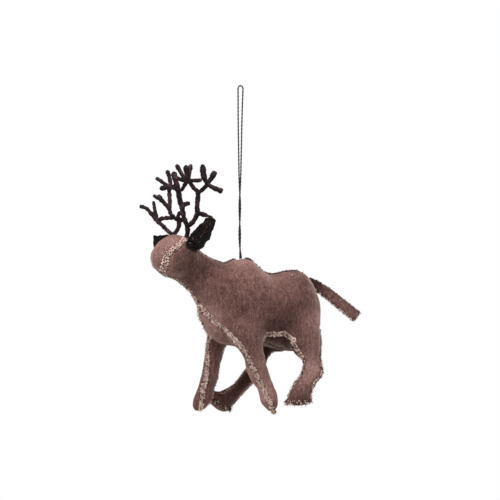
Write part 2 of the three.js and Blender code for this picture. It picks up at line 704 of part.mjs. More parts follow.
addPiece(deer, 'cord_knot', ball(knot_radius, knot_centre, bead_sides, bead_rings), cord_thread);
addPiece(deer, 'anchor_stitch', anchorRing(), raw_edge);
addPiece(ornament, 'hanging_cord', cordGeometry(), cord_thread);

export default ornament;
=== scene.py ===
"""A small velvet reindeer that hangs from a doubled cord: stuffed velvet skin with raw seam edges outside,
wrapped-wire antlers, black velvet ears, bead eyes and a flat velvet tail."""
import math

import bpy
import numpy as np
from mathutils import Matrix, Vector
from mathutils.bvhtree import BVHTree


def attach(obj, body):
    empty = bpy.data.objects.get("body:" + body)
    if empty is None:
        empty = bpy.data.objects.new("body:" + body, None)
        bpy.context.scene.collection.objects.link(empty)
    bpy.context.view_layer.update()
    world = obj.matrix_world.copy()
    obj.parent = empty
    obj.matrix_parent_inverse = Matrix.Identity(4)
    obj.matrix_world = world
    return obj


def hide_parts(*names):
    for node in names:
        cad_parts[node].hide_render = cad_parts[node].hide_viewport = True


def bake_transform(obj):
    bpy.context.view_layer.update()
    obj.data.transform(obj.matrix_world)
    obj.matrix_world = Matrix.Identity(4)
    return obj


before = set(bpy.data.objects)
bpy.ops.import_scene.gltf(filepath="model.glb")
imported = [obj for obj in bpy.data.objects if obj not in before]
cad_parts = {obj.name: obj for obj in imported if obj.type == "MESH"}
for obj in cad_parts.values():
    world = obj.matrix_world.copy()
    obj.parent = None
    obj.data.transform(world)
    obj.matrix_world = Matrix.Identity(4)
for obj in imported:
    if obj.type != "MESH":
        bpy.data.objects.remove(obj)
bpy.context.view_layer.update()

MM = 0.001
# The withers, where the cord enters the back, in the row frame: points on the reindeer are given from here.
WITHERS = np.array([0.0, 0.0, -114.5])
HEAD_TURN = math.radians(12)
HEAD_PIVOT = np.array([-34.04, 0.0, 0.0])
# The camera's right, and the way from the reindeer to the camera.
VIEW_RIGHT, VIEW_BACK = np.array([0.927, -0.375, 0.0]), np.array([-0.375, -0.927, 0.0])
scene = bpy.context.scene

# Camera: a long lens from the reindeer's left front, level with the middle of the ornament.
VIEW_TURN = math.radians(-22)
VIEW_DISTANCE = 1.6
FRAME_WIDTH = 0.33335
FRAME_CENTRE_RIGHT = 0.0063
FRAME_CENTRE_UP = -0.1091


def make_camera():
    right = Vector((math.cos(VIEW_TURN), math.sin(VIEW_TURN), 0))
    back = Vector((math.sin(VIEW_TURN), -math.cos(VIEW_TURN), 0))
    data = bpy.data.cameras.new("camera")
    data.sensor_width = 36
    data.lens = data.sensor_width * VIEW_DISTANCE / FRAME_WIDTH
    data.clip_start, data.clip_end = 0.05, 20
    camera = bpy.data.objects.new("camera", data)
    camera.location = right * FRAME_CENTRE_RIGHT + back * VIEW_DISTANCE + Vector((0, 0, FRAME_CENTRE_UP))
    camera.rotation_euler = back.to_track_quat("Z", "Y").to_euler()
    scene.collection.objects.link(camera)
    scene.camera = camera


make_camera()


# Colour and node helpers

def linear(code, alpha=1.0):
    """An sRGB hex colour as linear values."""
    parts = [int(code[i:i + 2], 16) / 255 for i in (1, 3, 5)]
    return tuple(p / 12.92 if p <= 0.04045 else ((p + 0.055) / 1.055) ** 2.4 for p in parts) + (alpha,)


def add_node(tree, kind, settings=None, give=0, **inputs):
    """Adds a node and returns one of its outputs. An input, by its name, or by its number after an i, is set
    to a value, or linked where the value is an output. A ramp's stops are pairs of place and hex colour."""
    node = tree.nodes.new("ShaderNode" + kind)
    for name, value in (settings or {}).items():
        if name != "stops":
            setattr(node, name, value)
            continue
        elements = node.color_ramp.elements
        while len(elements) < len(value):
            elements.new(0.5)
        for element, (position, code) in zip(elements, value):
            element.position, element.color = position, linear(code)
    for name, value in inputs.items():
        socket = node.inputs[int(name[1:])] if name[0] == "i" and name[1:].isdigit() else node.inputs[name]
        if isinstance(value, bpy.types.NodeSocket):
            tree.links.new(value, socket)
        else:
            socket.default_value = value
    return node.outputs[give] if len(node.outputs) else node


def mottled(tree, size, detail=2.0, roughness=0.5, drawn=1.0):
    """An uneven tone over object coordinates, its features about size millimetres across. Where drawn is less
    than 1 they are drawn out along Z, as the nap is brushed."""
    place = add_node(tree, "TexCoord", give="Object")
    place = add_node(tree, "Mapping", Vector=place, Scale=(1.0, 1.0, drawn))
    return add_node(tree, "TexNoise", Vector=place, Scale=1 / (size * MM), Detail=detail, Roughness=roughness)


def summed(tree, start, *terms):
    """start plus each (output, weight) term."""
    total = start
    for value, weight in terms:
        total = add_node(tree, "Math", {"operation": "MULTIPLY_ADD"}, i0=value, i1=weight, i2=total)
    return total


def new_tree(name):
    """A new material and its emptied node tree."""
    material = bpy.data.materials.new(name)
    material.use_nodes = True
    material.node_tree.nodes.clear()
    return material, material.node_tree


def surfaced(tree, colour, roughness, specular, relief=None, **more):
    """Ends a material's tree with its shader, whose constants stand on its own sockets. A relief is a height,
    its strength and its depth in millimetres."""
    if relief:
        more["Normal"] = add_node(tree, "Bump", Height=relief[0], Strength=relief[1], Distance=relief[2] * MM)
    more.update({"Base Color": colour, "Roughness": roughness, "Specular IOR Level": specular})
    add_node(tree, "OutputMaterial", Surface=add_node(tree, "BsdfPrincipled", **more))


# Materials. An attribute that a material reads is marked on its piece's points.

def polyester_velvet():
    """Cut-pile polyester velvet: matt from the front, with a pale sheen where the pile is seen edge on, a
    fine grain of separate tufts, and faint vertical streaks where it has been brushed and crushed. The tufts
    are drawn at 0.6 mm, coarser than they are, so that they show."""
    material, tree = new_tree("polyester_velvet")
    streaks = mottled(tree, 1.5, 2, 0.6, 0.35)
    grain = mottled(tree, 0.6, 2, 0.7, 0.7)
    clouds = mottled(tree, 9, drawn=0.6)
    # The pale and shade attributes paint light and shade into the colour: painted light on the lit parts of
    # the skin and tail and on the forehead, partly for its turned nap; painted shade under the belly, inside
    # the legs and at the tail's root.
    pale, shade = (add_node(tree, "Attribute", {"attribute_name": key}, "Fac") for key in ("pale", "shade"))
    tone = summed(tree, -0.416, (clouds, 0.28), (streaks, 0.5), (grain, 0.85), (pale, 0.25), (shade, -0.28))
    stops = [(0.16, "#3A2521"), (0.38, "#5F423D"), (0.54, "#7C5A54"), (0.7, "#98756F"), (0.9, "#BC9C95")]
    sheen = {"Sheen Weight": 0.7, "Sheen Roughness": 0.42, "Sheen Tint": linear("#E6C8C2")}
    surfaced(tree, add_node(tree, "ValToRGB", {"stops": stops}, Fac=tone), 0.95, 0.12,
             (summed(tree, 0.0, (grain, 1.0), (streaks, 0.8)), 0.6, 0.4), **sheen)
    return material


def raw_velvet_edge():
    """The cut edge of the velvet: the pile's colour outside, and pale, frayed backing yarn on the cut."""
    material, tree = new_tree("raw_velvet_edge")
    threads = mottled(tree, 0.55, 2, 0.6)
    stops = [(0.42, "#3E2A25"), (0.5, "#86655C"), (0.58, "#F0CFC2")]
    backing = add_node(tree, "ValToRGB", {"stops": stops}, Fac=threads)
    raw = add_node(tree, "Attribute", {"attribute_name": "raw"}, "Fac")
    colour = add_node(tree, "Mix", {"data_type": "RGBA"}, 2, i0=raw, i6=linear("#45302B"), i7=backing)
    surfaced(tree, colour, 0.95, 0.1, (threads, 0.6, 0.3), **{"Sheen Weight": 0.2})
    return material


def frayed_yarn():
    """Loose ends of the backing yarn, from cream to the pile's own dark brown."""
    material, tree = new_tree("frayed_yarn")
    stops = [(0.0, "#402A25"), (0.3, "#7A574E"), (0.45, "#DDB3A3"), (0.62, "#F6D6C7"), (1.0, "#FFEADF")]
    tint = add_node(tree, "Attribute", {"attribute_name": "tint"}, "Fac")
    surfaced(tree, add_node(tree, "ValToRGB", {"stops": stops}, Fac=tint), 0.8, 0.2)
    return material


def black_velvet():
    """Short black-brown velvet whose worn face shows grey-brown flecks of its ground cloth."""
    material, tree = new_tree("black_velvet")
    flecks = mottled(tree, 1.3, 4, 0.8, 0.6)
    stops = [(0.46, "#080605"), (0.54, "#1D1512"), (0.62, "#4C3831"), (0.7, "#85706A")]
    worn = add_node(tree, "ValToRGB", {"stops": stops}, Fac=flecks)
    # Where the face attribute is low the velvet is plain near-black; on an ear's rolled side that is painted
    # shade.
    face = add_node(tree, "Attribute", {"attribute_name": "face"}, "Fac")
    colour = add_node(tree, "Mix", {"data_type": "RGBA"}, 2, i0=face, i6=linear("#0B0A09"), i7=worn)
    surfaced(tree, colour, 0.9, 0.15, (flecks, 0.7, 0.4), **{"Sheen Weight": 0.08})
    return material


def acrylic_bead():
    """A moulded black acrylic bead with a polished surface that holds one small highlight."""
    material, tree = new_tree("acrylic_bead")
    surfaced(tree, linear("#060606"), 0.06, 0.16, IOR=1.49)
    return material


def flossed_wire():
    """Wire wound with floss and felted over: dark plum brown, paler and darker in random patches and fibres.
    """
    material, tree = new_tree("flossed_wire")
    fibres = mottled(tree, 0.7, 3, 0.65)
    wear = summed(tree, 0.0, (mottled(tree, 4, 1), 0.5), (fibres, 0.5))
    stops = [(0.38, "#0C0708"), (0.48, "#1F1214"), (0.57, "#3A2428"), (0.68, "#7A5B5E")]
    surfaced(tree, add_node(tree, "ValToRGB", {"stops": stops}, Fac=wear), 0.7, 0.18, (fibres, 0.6, 0.35))
    return material


def waxed_cord():
    """Two-ply waxed cotton cord: near-black brown plies with a painted highlight on their crowns."""
    material, tree = new_tree("waxed_cotton_cord")
    crown = add_node(tree, "Attribute", {"attribute_name": "crown"}, "Fac")
    ply = add_node(tree, "Mix", {"data_type": "RGBA"}, 2,
                   i0=crown, i6=linear("#0D0807"), i7=linear("#55403A"))
    fuzz = add_node(tree, "Mix", {"data_type": "RGBA", "blend_type": "MULTIPLY"}, 2,
                    i0=mottled(tree, 0.4, drawn=0.4), i6=ply, i7=linear("#2E1F1A"))
    surfaced(tree, add_node(tree, "Mix", {"data_type": "RGBA"}, 2, i0=0.62, i6=ply, i7=fuzz), 0.6, 0.2)
    return material


velvet, raw_edge, yarn, ear_velvet = polyester_velvet(), raw_velvet_edge(), frayed_yarn(), black_velvet()
bead, wire, cord_finish = acrylic_bead(), flossed_wire(), waxed_cord()


# Mesh helpers. Points are in millimetres in the row frame until a mesh is made of them.

def read(collection, field, width, kind=np.float32):
    """A field of a mesh's vertices, edges, loops or triangles, as rows of that width."""
    values = np.empty(len(collection) * width, kind)
    collection.foreach_get(field, values)
    return values.reshape(-1, width)


def mark(mesh, values):
    """Float attributes on the mesh's points."""
    for key, value in values.items():
        mesh.attributes.new(key, "FLOAT", "POINT").data.foreach_set("value", value.astype(np.float32))


def new_object(name, points, faces, material, values=None, closed=True):
    """A mesh object from arrays of points (in millimetres) and of quads or triangles, with float attributes.
    A closed form whose signed volume is negative is turned, so that its faces point outwards."""
    a, b, c = (points[faces[:, k]] - points.mean(0) for k in (0, 1, 2))
    volume = np.sum(a * np.cross(b, c))
    if faces.shape[1] == 4:
        volume += np.sum(a * np.cross(c, points[faces[:, 3]] - points.mean(0)))
    if closed and volume < 0:
        faces = faces[:, ::-1]
    mesh = bpy.data.meshes.new(name)
    mesh.vertices.add(len(points))
    mesh.vertices.foreach_set("co", (np.asarray(points) * MM).astype(np.float32).ravel())
    mesh.loops.add(faces.size)
    mesh.loops.foreach_set("vertex_index", faces.astype(np.int32).ravel())
    mesh.polygons.add(len(faces))
    mesh.polygons.foreach_set("loop_start", np.arange(0, faces.size, faces.shape[1], dtype=np.int32))
    mesh.update(calc_edges=True)
    mesh.validate()
    mesh.polygons.foreach_set("use_smooth", np.full(len(mesh.polygons), True))
    mesh.materials.append(material)
    mark(mesh, values or {})
    item = bpy.data.objects.new(name, mesh)
    scene.collection.objects.link(item)
    return item


def grid_faces(rows, columns):
    """Quads of a grid whose columns close on themselves, as (rows - 1) * columns index rows."""
    row, column = np.meshgrid(np.arange(rows - 1), np.arange(columns), indexing="ij")
    after = (column + 1) % columns
    quads = np.stack([row * columns + column, row * columns + after, (row + 1) * columns + after,
                      (row + 1) * columns + column], -1)
    return quads.reshape(-1, 4)


def closed_tube(rings):
    """Points and quads of a closed tube from its rings (rows, columns, 3): each end is drawn in to a tiny
    ring about its own middle, which a row of quads closes across."""
    ends = [ring.mean(0) + (ring - ring.mean(0)) * 0.04 for ring in (rings[0], rings[-1])]
    rings = np.concatenate([ends[0][None], rings, ends[1][None]])
    rows, columns, _ = rings.shape
    half = np.arange(columns // 2 - 1)
    first = np.stack([half + 1, half, columns - 1 - half, columns - 2 - half], -1)
    last = (rows - 1) * columns + first[:, ::-1]
    return rings.reshape(-1, 3), np.concatenate([grid_faces(rows, columns), first, last])


def with_ends(values):
    """A closed tube's values, one for each point, from those of its rings (rows, columns)."""
    return np.concatenate([values[:1], values, values[-1:]]).ravel()


def joined(parts):
    """Parts as one. Each is its points, its faces and, where it has them, a value for each point."""
    points, faces, *values = zip(*parts)
    starts = np.cumsum([0] + [len(p) for p in points[:-1]])
    faces = np.concatenate([f + start for f, start in zip(faces, starts)])
    return np.concatenate(points), faces, *(np.concatenate(v) for v in values)


def smooth_path(points, spacing):
    """A centripetal Catmull-Rom curve through the points, sampled at even steps along its length."""
    points = np.asarray(points, float)
    ends = np.concatenate([[2 * points[0] - points[1]], points, [2 * points[-1] - points[-2]]])
    knots = np.concatenate([[0], np.cumsum(np.linalg.norm(np.diff(ends, axis=0), axis=1) ** 0.5 + 1e-9)])
    fine = []
    for index in range(1, len(ends) - 2):
        t = np.linspace(knots[index], knots[index + 1], 24, endpoint=False)[:, None]
        k, p = knots[index - 1:index + 3], ends[index - 1:index + 3]
        a = [((k[j + 1] - t) * p[j] + (t - k[j]) * p[j + 1]) / (k[j + 1] - k[j]) for j in range(3)]
        b = [((k[j + 2] - t) * a[j] + (t - k[j]) * a[j + 1]) / (k[j + 2] - k[j]) for j in range(2)]
        fine.append(((k[2] - t) * b[0] + (t - k[1]) * b[1]) / (k[2] - k[1]))
    fine = np.concatenate([*fine, points[-1:]])
    run = run_length(fine)
    even = np.linspace(0, run[-1], max(int(run[-1] / spacing) + 1, 4))
    return np.stack([np.interp(even, run, fine[:, axis]) for axis in range(3)], -1)


def run_length(path):
    return np.concatenate([[0], np.cumsum(np.linalg.norm(np.diff(path, axis=0), axis=1))])


def unit(vectors):
    return vectors / np.maximum(np.linalg.norm(vectors, axis=-1, keepdims=True), 1e-9)


def tangents(path):
    return unit(np.gradient(path, axis=0))


def swept(path, across, section_x, section_y):
    """Rings of a section carried along a path: across, one direction or one for each ring, gives the
    section's x, and y is tangent x across. The section is two arrays (rows, columns)."""
    ahead = tangents(path)
    across = np.broadcast_to(np.asarray(across, float), path.shape)
    across = unit(across - ahead * np.sum(across * ahead, -1, keepdims=True))
    up = np.cross(ahead, across)
    return path[:, None] + across[:, None] * section_x[..., None] + up[:, None] * section_y[..., None]


def round_of(count):
    """The angles of a ring of so many points, as one row."""
    return np.linspace(0, 2 * math.pi, count, endpoint=False)[None]


def rod(path, across, radius, angle):
    """A closed tube of round section: one radius, or one for each point of each ring."""
    radius = radius * np.ones((len(path), 1))
    return closed_tube(swept(path, across, radius * np.cos(angle), radius * np.sin(angle)))


def turned(angle):
    """The matrix of a turn about Z."""
    cos, sin = math.cos(angle), math.sin(angle)
    return np.array([[cos, -sin, 0], [sin, cos, 0], [0, 0, 1]])


def waves(points, size, seed, count=14):
    """A smooth random field about -1 to 1: the mean of sine waves of that size in random directions."""
    source = np.random.default_rng(seed)
    directions = unit(source.normal(size=(count, 3))) * (2 * math.pi / size)
    directions *= source.uniform(0.6, 1.5, (count, 1))
    phases = source.uniform(0, 2 * math.pi, count)
    return np.sin(points @ directions.T + phases).sum(-1) / math.sqrt(count / 2)


def nearest_rows(points, targets):
    """For each point the index of the nearest target and its distance, a few thousand points at a time."""
    index, distance = np.empty(len(points), int), np.empty(len(points))
    for start in range(0, len(points), 4000):
        block = points[start:start + 4000]
        squares = (block ** 2).sum(1)[:, None] - 2 * block @ targets.T + (targets ** 2).sum(1)[None]
        index[start:start + 4000] = squares.argmin(1)
        distance[start:start + 4000] = np.sqrt(np.maximum(squares.min(1), 0))
    return index, distance


def finish_piece(item, body, slot, *nodes, sewn=None):
    """Attaches the piece to its body's empty and hides the CAD nodes that it stands for. A piece that is sewn
    on is only baked into place and is not attached to a body. The slot is not used."""
    if sewn:
        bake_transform(item)
    else:
        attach(item, body)
    if nodes:
        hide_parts(*nodes)


# Hanging cord: one two-ply cord from the knot, up, over the loop's top and back. Points in metres.
CORD_DIAMETER = 0.00095
PLY_PITCH = 2.5
CORD_UP = [
    (0.0006, 0, -0.115), (0.0006, 0, -0.1135), (0, 0.0006, -0.106), (-0.0006, 0, -0.0975),
    (0, -0.0006, -0.0885), (0.0006, 0, -0.079), (0, 0.0006, -0.0695), (-0.00062, 0, -0.06),
    (-0.00085, 0, -0.048), (-0.0011, 0, -0.036), (-0.00132, 0, -0.024), (-0.00155, 0, -0.012),
    (-0.0017, 0, -0.004), (-0.0017, 0, -0.0013), (-0.0012, 0, -0.0001), (0, 0, 0.0004),
]
# The run down is the run up, turned half round.
CORD_ROUTE = CORD_UP + [(-x, -y, z) for x, y, z in reversed(CORD_UP[:-1])]


def make_cord():
    """Two plies twisted together: the section's radius swells twice round it, and turns with the twist. Where
    the doubled cord is wound on itself, its two runs are drawn together until they touch."""
    route = np.array(CORD_ROUTE) / MM
    route[:, :2] *= np.interp(route[:, 2], [-70, -58], [0.78, 1])[:, None]
    route[:, 0] += np.interp(route[:, 2], [-114, -104, -20, 0], [0, -0.6, -0.35, 0])
    path = smooth_path(route, 0.3)
    angle = round_of(10)
    twist = 2 * math.pi * run_length(path)[:, None] / (2 * PLY_PITCH)
    lobe = np.abs(np.cos(angle - twist))
    points, faces = rod(path, (0, 1, 0), CORD_DIAMETER / MM / 2 * (0.7 + 0.4 * lobe ** 0.7), angle)
    item = new_object("twisted_cord", points, faces, cord_finish, {"crown": with_ends(lobe)})
    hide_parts("hanging_cord")
    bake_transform(item)


make_cord()


# Skin

# The remesh's grain, and how far the solids are swelled first so that they fuse, in millimetres.
VOXEL, OVERLAP = 1.1, 0.2
# The skin's start below its full size, the cap on how far the cloth may swell, and the filling's pressure.
SHRINK, SWELL, PRESSURE = 0.3, 0.8, 1200
# Where a maker's thumb would press the filling in or ease it out: a place, how far round it the skin
# follows, and the move, in millimetres from the withers.
PRESSES = [
    ((-66, -2, -1), 10, (1.3, -0.6, 0)), ((-61, -4, -11.5), 9, (1.9, -0.6, 2.8)),
    ((-53, -5, -15.3), 7, (0.2, 0, 0.1)), ((-43, 0, 16), 7, (0, 0, -2)),
    ((-35.7, 0, -28), 8, (1.5, -0.6, 0.3)), ((-20, 0, 0.7), 7, (0, 0, 0.7)), ((41, 0, -8), 8, (0, 0, -1)),
    ((55, -5, -33), 9, (0.85, -0.3, 0)), ((52, -15, -64.5), 8, (3, -1.1, 0)),
    ((46.5, -15.5, -91), 6, (-1.4, 0.5, 0)), ((42, -15.5, -97.5), 4.5, (0, 0, 2.3)),
    ((35.5, -16, -69), 6, (1.6, -0.6, 0)), ((28, 19, -69), 9, (0, 0, 6.5)), ((34, 19, -66), 6, (0, 0, 3)),
    ((14, 0, -58), 9, (0, 0, 3.5)), ((-4.5, 22, -85), 6.5, (0, 0, -5)),
    ((4.2, 21.5, -81.3), 6.5, (0, 0, -3.2)), ((-58.7, -2, 10), 8, (1.6, -0.6, -1.1)),
    ((28, 19, -66), 6, (0, 0, 1.6)), ((33, -10, -60), 5, (0, 0, -1.7)), ((12, -4, -57), 7, (0, 0, 2.5)),
    ((13.3, -16, -76), 7, (0.8, -0.3, 0)), ((-14, 9, -88), 7, (-1.8, 0.6, 0)),
    ((-12.5, 23.5, -95), 5, (-2.2, 0.8, -0.5)), ((-15, 23.5, -96), 5, (-2.2, 0.9, 0)),
    ((-9, 23.5, -99), 6, (-1.6, 0.6, -3)), ((-27, 8, -98), 6, (-0.8, 0.3, 0)),
    ((-9.7, 9, -71), 9, (-1.6, 0.6, 0)), ((-22, 9, -66), 9, (0.7, -0.3, 0)),
    ((-27.5, 8, -99), 5, (-0.8, 0.3, -0.7)), ((-6.8, 9, -60), 6, (-1.1, 0.4, 0.4)),
    ((-21.3, 9, -100), 5, (-0.7, 0.3, 1.3)), ((-7.3, -17, -66), 7, (2.1, -0.8, 0.3)),
    ((-11.6, -16, -60.5), 5, (1, -0.4, 0.8)), ((5.6, -17, -90), 8, (2.5, -1, 0)),
    ((10, -16, -100), 5, (1.4, -0.5, 0.6)), ((19, -14, -91), 7, (1.3, -0.5, 0)),
    ((11.5, -16, -102.5), 4, (1.3, -0.5, 2.2)), ((28, 8, -61), 6, (0, 0, 1.2)),
    ((-45, -2, -15.5), 8, (0.5, 0, 0.8)), ((-27.5, 2, -43.5), 6, (1.2, -0.5, 0)),
    ((-22, 8, -52), 5, (-0.8, 0.3, 0)), ((-24, 5, -47), 5, (0.7, -0.3, 0)),
    ((53.5, -10, -48), 10, (0.6, -0.2, 0)), ((20, 0, -9), 8, (0, 0, -0.6)), ((8, 0, 0.5), 7, (0, 0, 0.6)),
    ((48, 0, -11), 6, (0, 0, -0.7)), ((54.5, 0, -25), 7, (-0.6, 0, 0)),
]
STUFFED = ["torso", "neck", "head", "front_left_leg", "front_right_leg", "rear_left_thigh",
           "rear_right_thigh", "rear_left_shank", "rear_right_shank"]


def mesh_arrays(mesh):
    """The mesh's points in millimetres, and its edges."""
    return read(mesh.vertices, "co", 3).astype(float) / MM, read(mesh.edges, "vertices", 2, np.int32)


def vertex_normals(item):
    return read(item.data.vertices, "normal", 3).astype(float)


def set_points(item, points):
    item.data.vertices.foreach_set("co", (points * MM).astype(np.float32).ravel())
    item.data.update()


def relaxed(points, edges, steps, weight=1.0):
    """Each step moves every point by that share of its way to the mean of its neighbours, or away from it
    where the step is below 0, as far as the point's weight lets it: creases soften while the volume stays."""
    count = np.maximum(np.bincount(edges.ravel(), minlength=len(points)), 1)[:, None]
    start, end = np.concatenate([edges, edges[:, ::-1]]).T
    for step in steps:
        near = np.stack([np.bincount(start, points[end, axis], len(points)) for axis in range(3)], -1)
        points = points + (near / count - points) * step * weight
    return points


def applied(item):
    """Replaces the item's mesh by its mesh with every modifier applied."""
    made = bpy.data.meshes.new_from_object(item.evaluated_get(bpy.context.evaluated_depsgraph_get()))
    item.modifiers.clear()
    item.data = made
    return item


def remeshed(item, voxel):
    modifier = item.modifiers.new("remesh", "REMESH")
    modifier.mode, modifier.voxel_size = "VOXEL", voxel * MM
    modifier.use_smooth_shade = True
    return applied(item)


def subdivided(item):
    smooth = item.modifiers.new("smooth", "SUBSURF")
    smooth.levels = smooth.render_levels = 1
    return applied(item)


def coated(item, material):
    item.data.materials.clear()
    item.data.materials.append(material)


def merged_copy(name, nodes):
    """One object from copies of the nodes' meshes, with doubled vertices merged."""
    parts = []
    for node in nodes:
        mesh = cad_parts[node].data
        points = read(mesh.vertices, "co", 3).astype(float) / MM
        loops = read(mesh.loops, "vertex_index", 1, np.int32).ravel()
        _, first, same = np.unique(np.round(points, 4), axis=0, return_index=True, return_inverse=True)
        parts.append((points[first], same.ravel()[loops].reshape(-1, 3)))
    return new_object(name, *joined(parts), velvet)


# Where one panel of velvet runs on over two stuffed forms, so that no crease shows: a place and its reach.
EASED = [((-37, 0, -5), 14), ((-4, -19, -44), 13), ((-4, 19, -44), 13), ((41, -17, -40), 14),
         ((36, 17, -40), 14), ((16, 0, -6), 8), ((47, -15.5, -65), 9), ((30, 19, -66), 8)]
# Painted light and shade on the velvet, the same on either side: a place on the left, its reach, and how much
# paler, as painted light, or darker, as painted shade, the velvet is coloured there.
PAINTED_LIGHT_AND_SHADE = [
    ((2, -20, -75), 14, 0.9), ((10, -19, -92), 12, 0.8), ((45, -18, -74), 12, 1.4),
    ((40, -16, -86), 8, 0.5), ((50, -18, -50), 16, 0.8), ((42, -16, -16), 12, -0.2),
    ((-30, -14, -14), 9, 0.3), ((22, -23, -42), 12, -0.65), ((8, -20, -22), 14, 0.3),
    ((-34, -12, -8), 12, -0.5), ((36, -16, -98), 8, -1.5), ((-28, -6, -42), 13, 1.7),
    ((0, -8, -2), 12, 0.6), ((20, -15, -12), 12, 0.15), ((22, -20, -56), 7, 0.25), ((-56, -13, -6), 8, 0.9),
]


def bells(places, points, mirror=False):
    """One row for each place: exp(-(distance / reach) squared) at every point."""
    if mirror:
        points = np.stack([points[:, 0], -np.abs(points[:, 1]), points[:, 2]], -1)
    return [np.exp(-((points - np.array(row[0])) ** 2).sum(1) / row[1] ** 2) for row in places]


def make_skin():
    """The stuffed solids as one skin: fused by a remesh, its creases relaxed, eased where a panel runs on,
    and then pressed, each move fading with distance from its place as a bell curve."""
    item = merged_copy("velvet_skin", STUFFED)
    points, _ = mesh_arrays(item.data)
    set_points(item, points + vertex_normals(item) * OVERLAP)
    remeshed(item, VOXEL)
    points, edges = mesh_arrays(item.data)
    points = relaxed(points, edges, [0.5, -0.52] * 26)
    weight = np.clip(1.5 * np.max(bells(EASED, points - WITHERS), axis=0), 0, 1)[:, None]
    points = relaxed(points, edges, [0.5] * 60, weight)
    moves = [near[:, None] * np.array(row[2]) for row, near in zip(PRESSES, bells(PRESSES, points - WITHERS))]
    set_points(item, points + np.sum(moves, axis=0))
    return item


skin = make_skin()


# Seams: points given near the skin, in millimetres from the withers, laid on to it afterwards.

def mirrored(points):
    return [(x, -y, z) for x, y, z in points]


def mirrored_on_head(points, spread=0.0):
    """The same points on the other side of the turned head, moved outwards by spread."""
    turn = turned(HEAD_TURN)
    local = (np.array(points) - HEAD_PIVOT) @ turn
    return [tuple(p) for p in (local * [1, -1, 1] + [0, spread, 0]) @ turn.T + HEAD_PIVOT]


LEFT_HEAD = [(-43.5, -10, 13.5), (-45, -11, 11), (-49.5, -13.5, 8), (-53.5, -15, 5), (-57, -14.5, 2.5),
             (-58, -14.5, 0), (-58.5, -13.5, -3.5), (-59, -11, -6.5), (-58.5, -10, -8.5)]
LEFT_THROAT = [(-58.5, -10, -8.5), (-53.5, -5.5, -10.5), (-49, -3, -12.5), (-44, -2, -15.5),
               (-39.5, -2, -18.5), (-36.5, -2.5, -21)]
LEFT_CHEST = [(-36.5, -2.5, -21), (-33.5, -1.5, -24), (-31, -2, -28.5), (-28.5, -5, -33.5), (-25, -9, -38.5),
              (-20.5, -11, -43.5), (-15.5, -13.5, -47), (-13, -18.5, -51.5), (-9.5, -21, -56), (-6, -21, -60),
              (-3.5, -20.5, -63.5), (0, -20.5, -70.5), (4, -19.5, -78), (8.5, -19.5, -86), (11, -19.5, -91.5),
              (14, -19.5, -97.5), (16.5, -16.5, -102.5)]
RIGHT_CHEST = [(-33.5, 0, -24), (-31, -1, -29.5), (-30, 0, -35.5), (-28.5, 0.5, -41), (-26, 2.5, -45.5),
               (-22, 6, -50.5), (-19, 11, -55), (-19, 11.5, -58), (-19.5, 10.5, -66), (-20, 10, -75),
               (-21.5, 9.5, -82.5), (-23, 9, -87.5), (-24, 8.5, -92), (-25, 8, -97), (-24.5, 10, -103)]
LEFT_BELLY = [(8, -15, -52.5), (10, -17, -51), (14.5, -16, -50), (19.5, -16.5, -50), (24.5, -17, -49.5),
              (27.5, -16.5, -51), (30, -18, -53.5), (32, -18.5, -58.5), (34.5, -19, -62),
              (37.5, -18.5, -66.5)]
LEFT_HIND_FRONT = [(37.5, -18.5, -66.5), (38.5, -17, -70), (38, -16.5, -75), (36, -16, -80), (33, -15.5, -84),
                   (30.5, -16, -88), (28, -15.5, -92)]
LEFT_HIND_REAR = [(53, -15, -48), (51.5, -17.5, -55), (50.5, -18.5, -62), (49.5, -20, -69)]
LEFT_HOCK = [(49.5, -20, -69), (50.5, -20, -75.5), (49.5, -20.5, -78.5), (46, -20.5, -82), (43.5, -20, -85.5),
             (42.5, -19.5, -89), (42, -19, -94.5)]
LEFT_FRONT_REAR = [(6.5, -14, -53), (9, -12.5, -60), (12, -12, -71), (15.5, -12.5, -84), (19.5, -13, -96)]
RIGHT_FRONT_REAR = [(2.5, 14, -53), (-1.5, 13, -60), (-6.5, 12.5, -72), (-11, 11.5, -86), (-16.5, 10.5, -99)]
RIGHT_BELLY = [(2.5, 14, -53), *mirrored(LEFT_BELLY[2:6]), (24, 19.5, -57.5), (20, 20, -61)]
RIGHT_HIND_FRONT = [(20, 20, -64), (12.5, 19.5, -75), (6.5, 19, -82), (3, 18.5, -86), (-1, 20, -88.5),
                    (-8, 19.5, -92)]
RIGHT_HIND_REAR = [(45, 16.5, -64), (33, 17, -71), (22, 18, -81), (10, 20, -91), (-1, 22, -99)]
# The fold under the belly is one raw layer with a fully pale edge: partly a real crease and partly a painted
# highlight along it.
BELLY_FOLD = [(9.5, -13, -53.5), (14, -12, -55.5), (20, -10, -58), (27, -6.5, -60.5)]
BACK = [(-31, 0, 2.5), (-24, 0, -3), (-14, 0, -3), (-6, 0, 0.5), (-3, 0, 1)]
BACK_REAR = [(3, 0, 1), (8, 0, 0), (13, 0, -4.5), (18, 0, -9), (27, 0, -9), (36, 0, -8), (44, 0, -9.5),
             (49.5, 0, -14)]
RUMP = [(53.5, 0, -24), (56, 0, -33), (56.5, 0, -43), (54, 0, -53)]


def on_surface(points, surface):
    """The nearest places on a surface, and its outward directions there."""
    found = [surface.find_nearest(Vector(p * MM)) for p in points]
    return np.array([tuple(hit[0]) for hit in found]) / MM, np.array([tuple(hit[1]) for hit in found])


def laid(points, surface):
    """The seam's path on the skin, with the skin's outward direction at each point."""
    place, out = on_surface(smooth_path(np.array(points) + WITHERS, 0.5), surface)
    kernel = np.hanning(9) / np.hanning(9).sum()
    smooth = [np.convolve(np.pad(out[:, axis], 4, "edge"), kernel, "valid") for axis in range(3)]
    return place, unit(np.stack(smooth, -1))


def surface_of(item):
    points, _ = mesh_arrays(item.data)
    item.data.calc_loop_triangles()
    faces = read(item.data.loop_triangles, "vertices", 3, np.int32)
    return BVHTree.FromPolygons([Vector(p * MM) for p in points], faces.tolist())
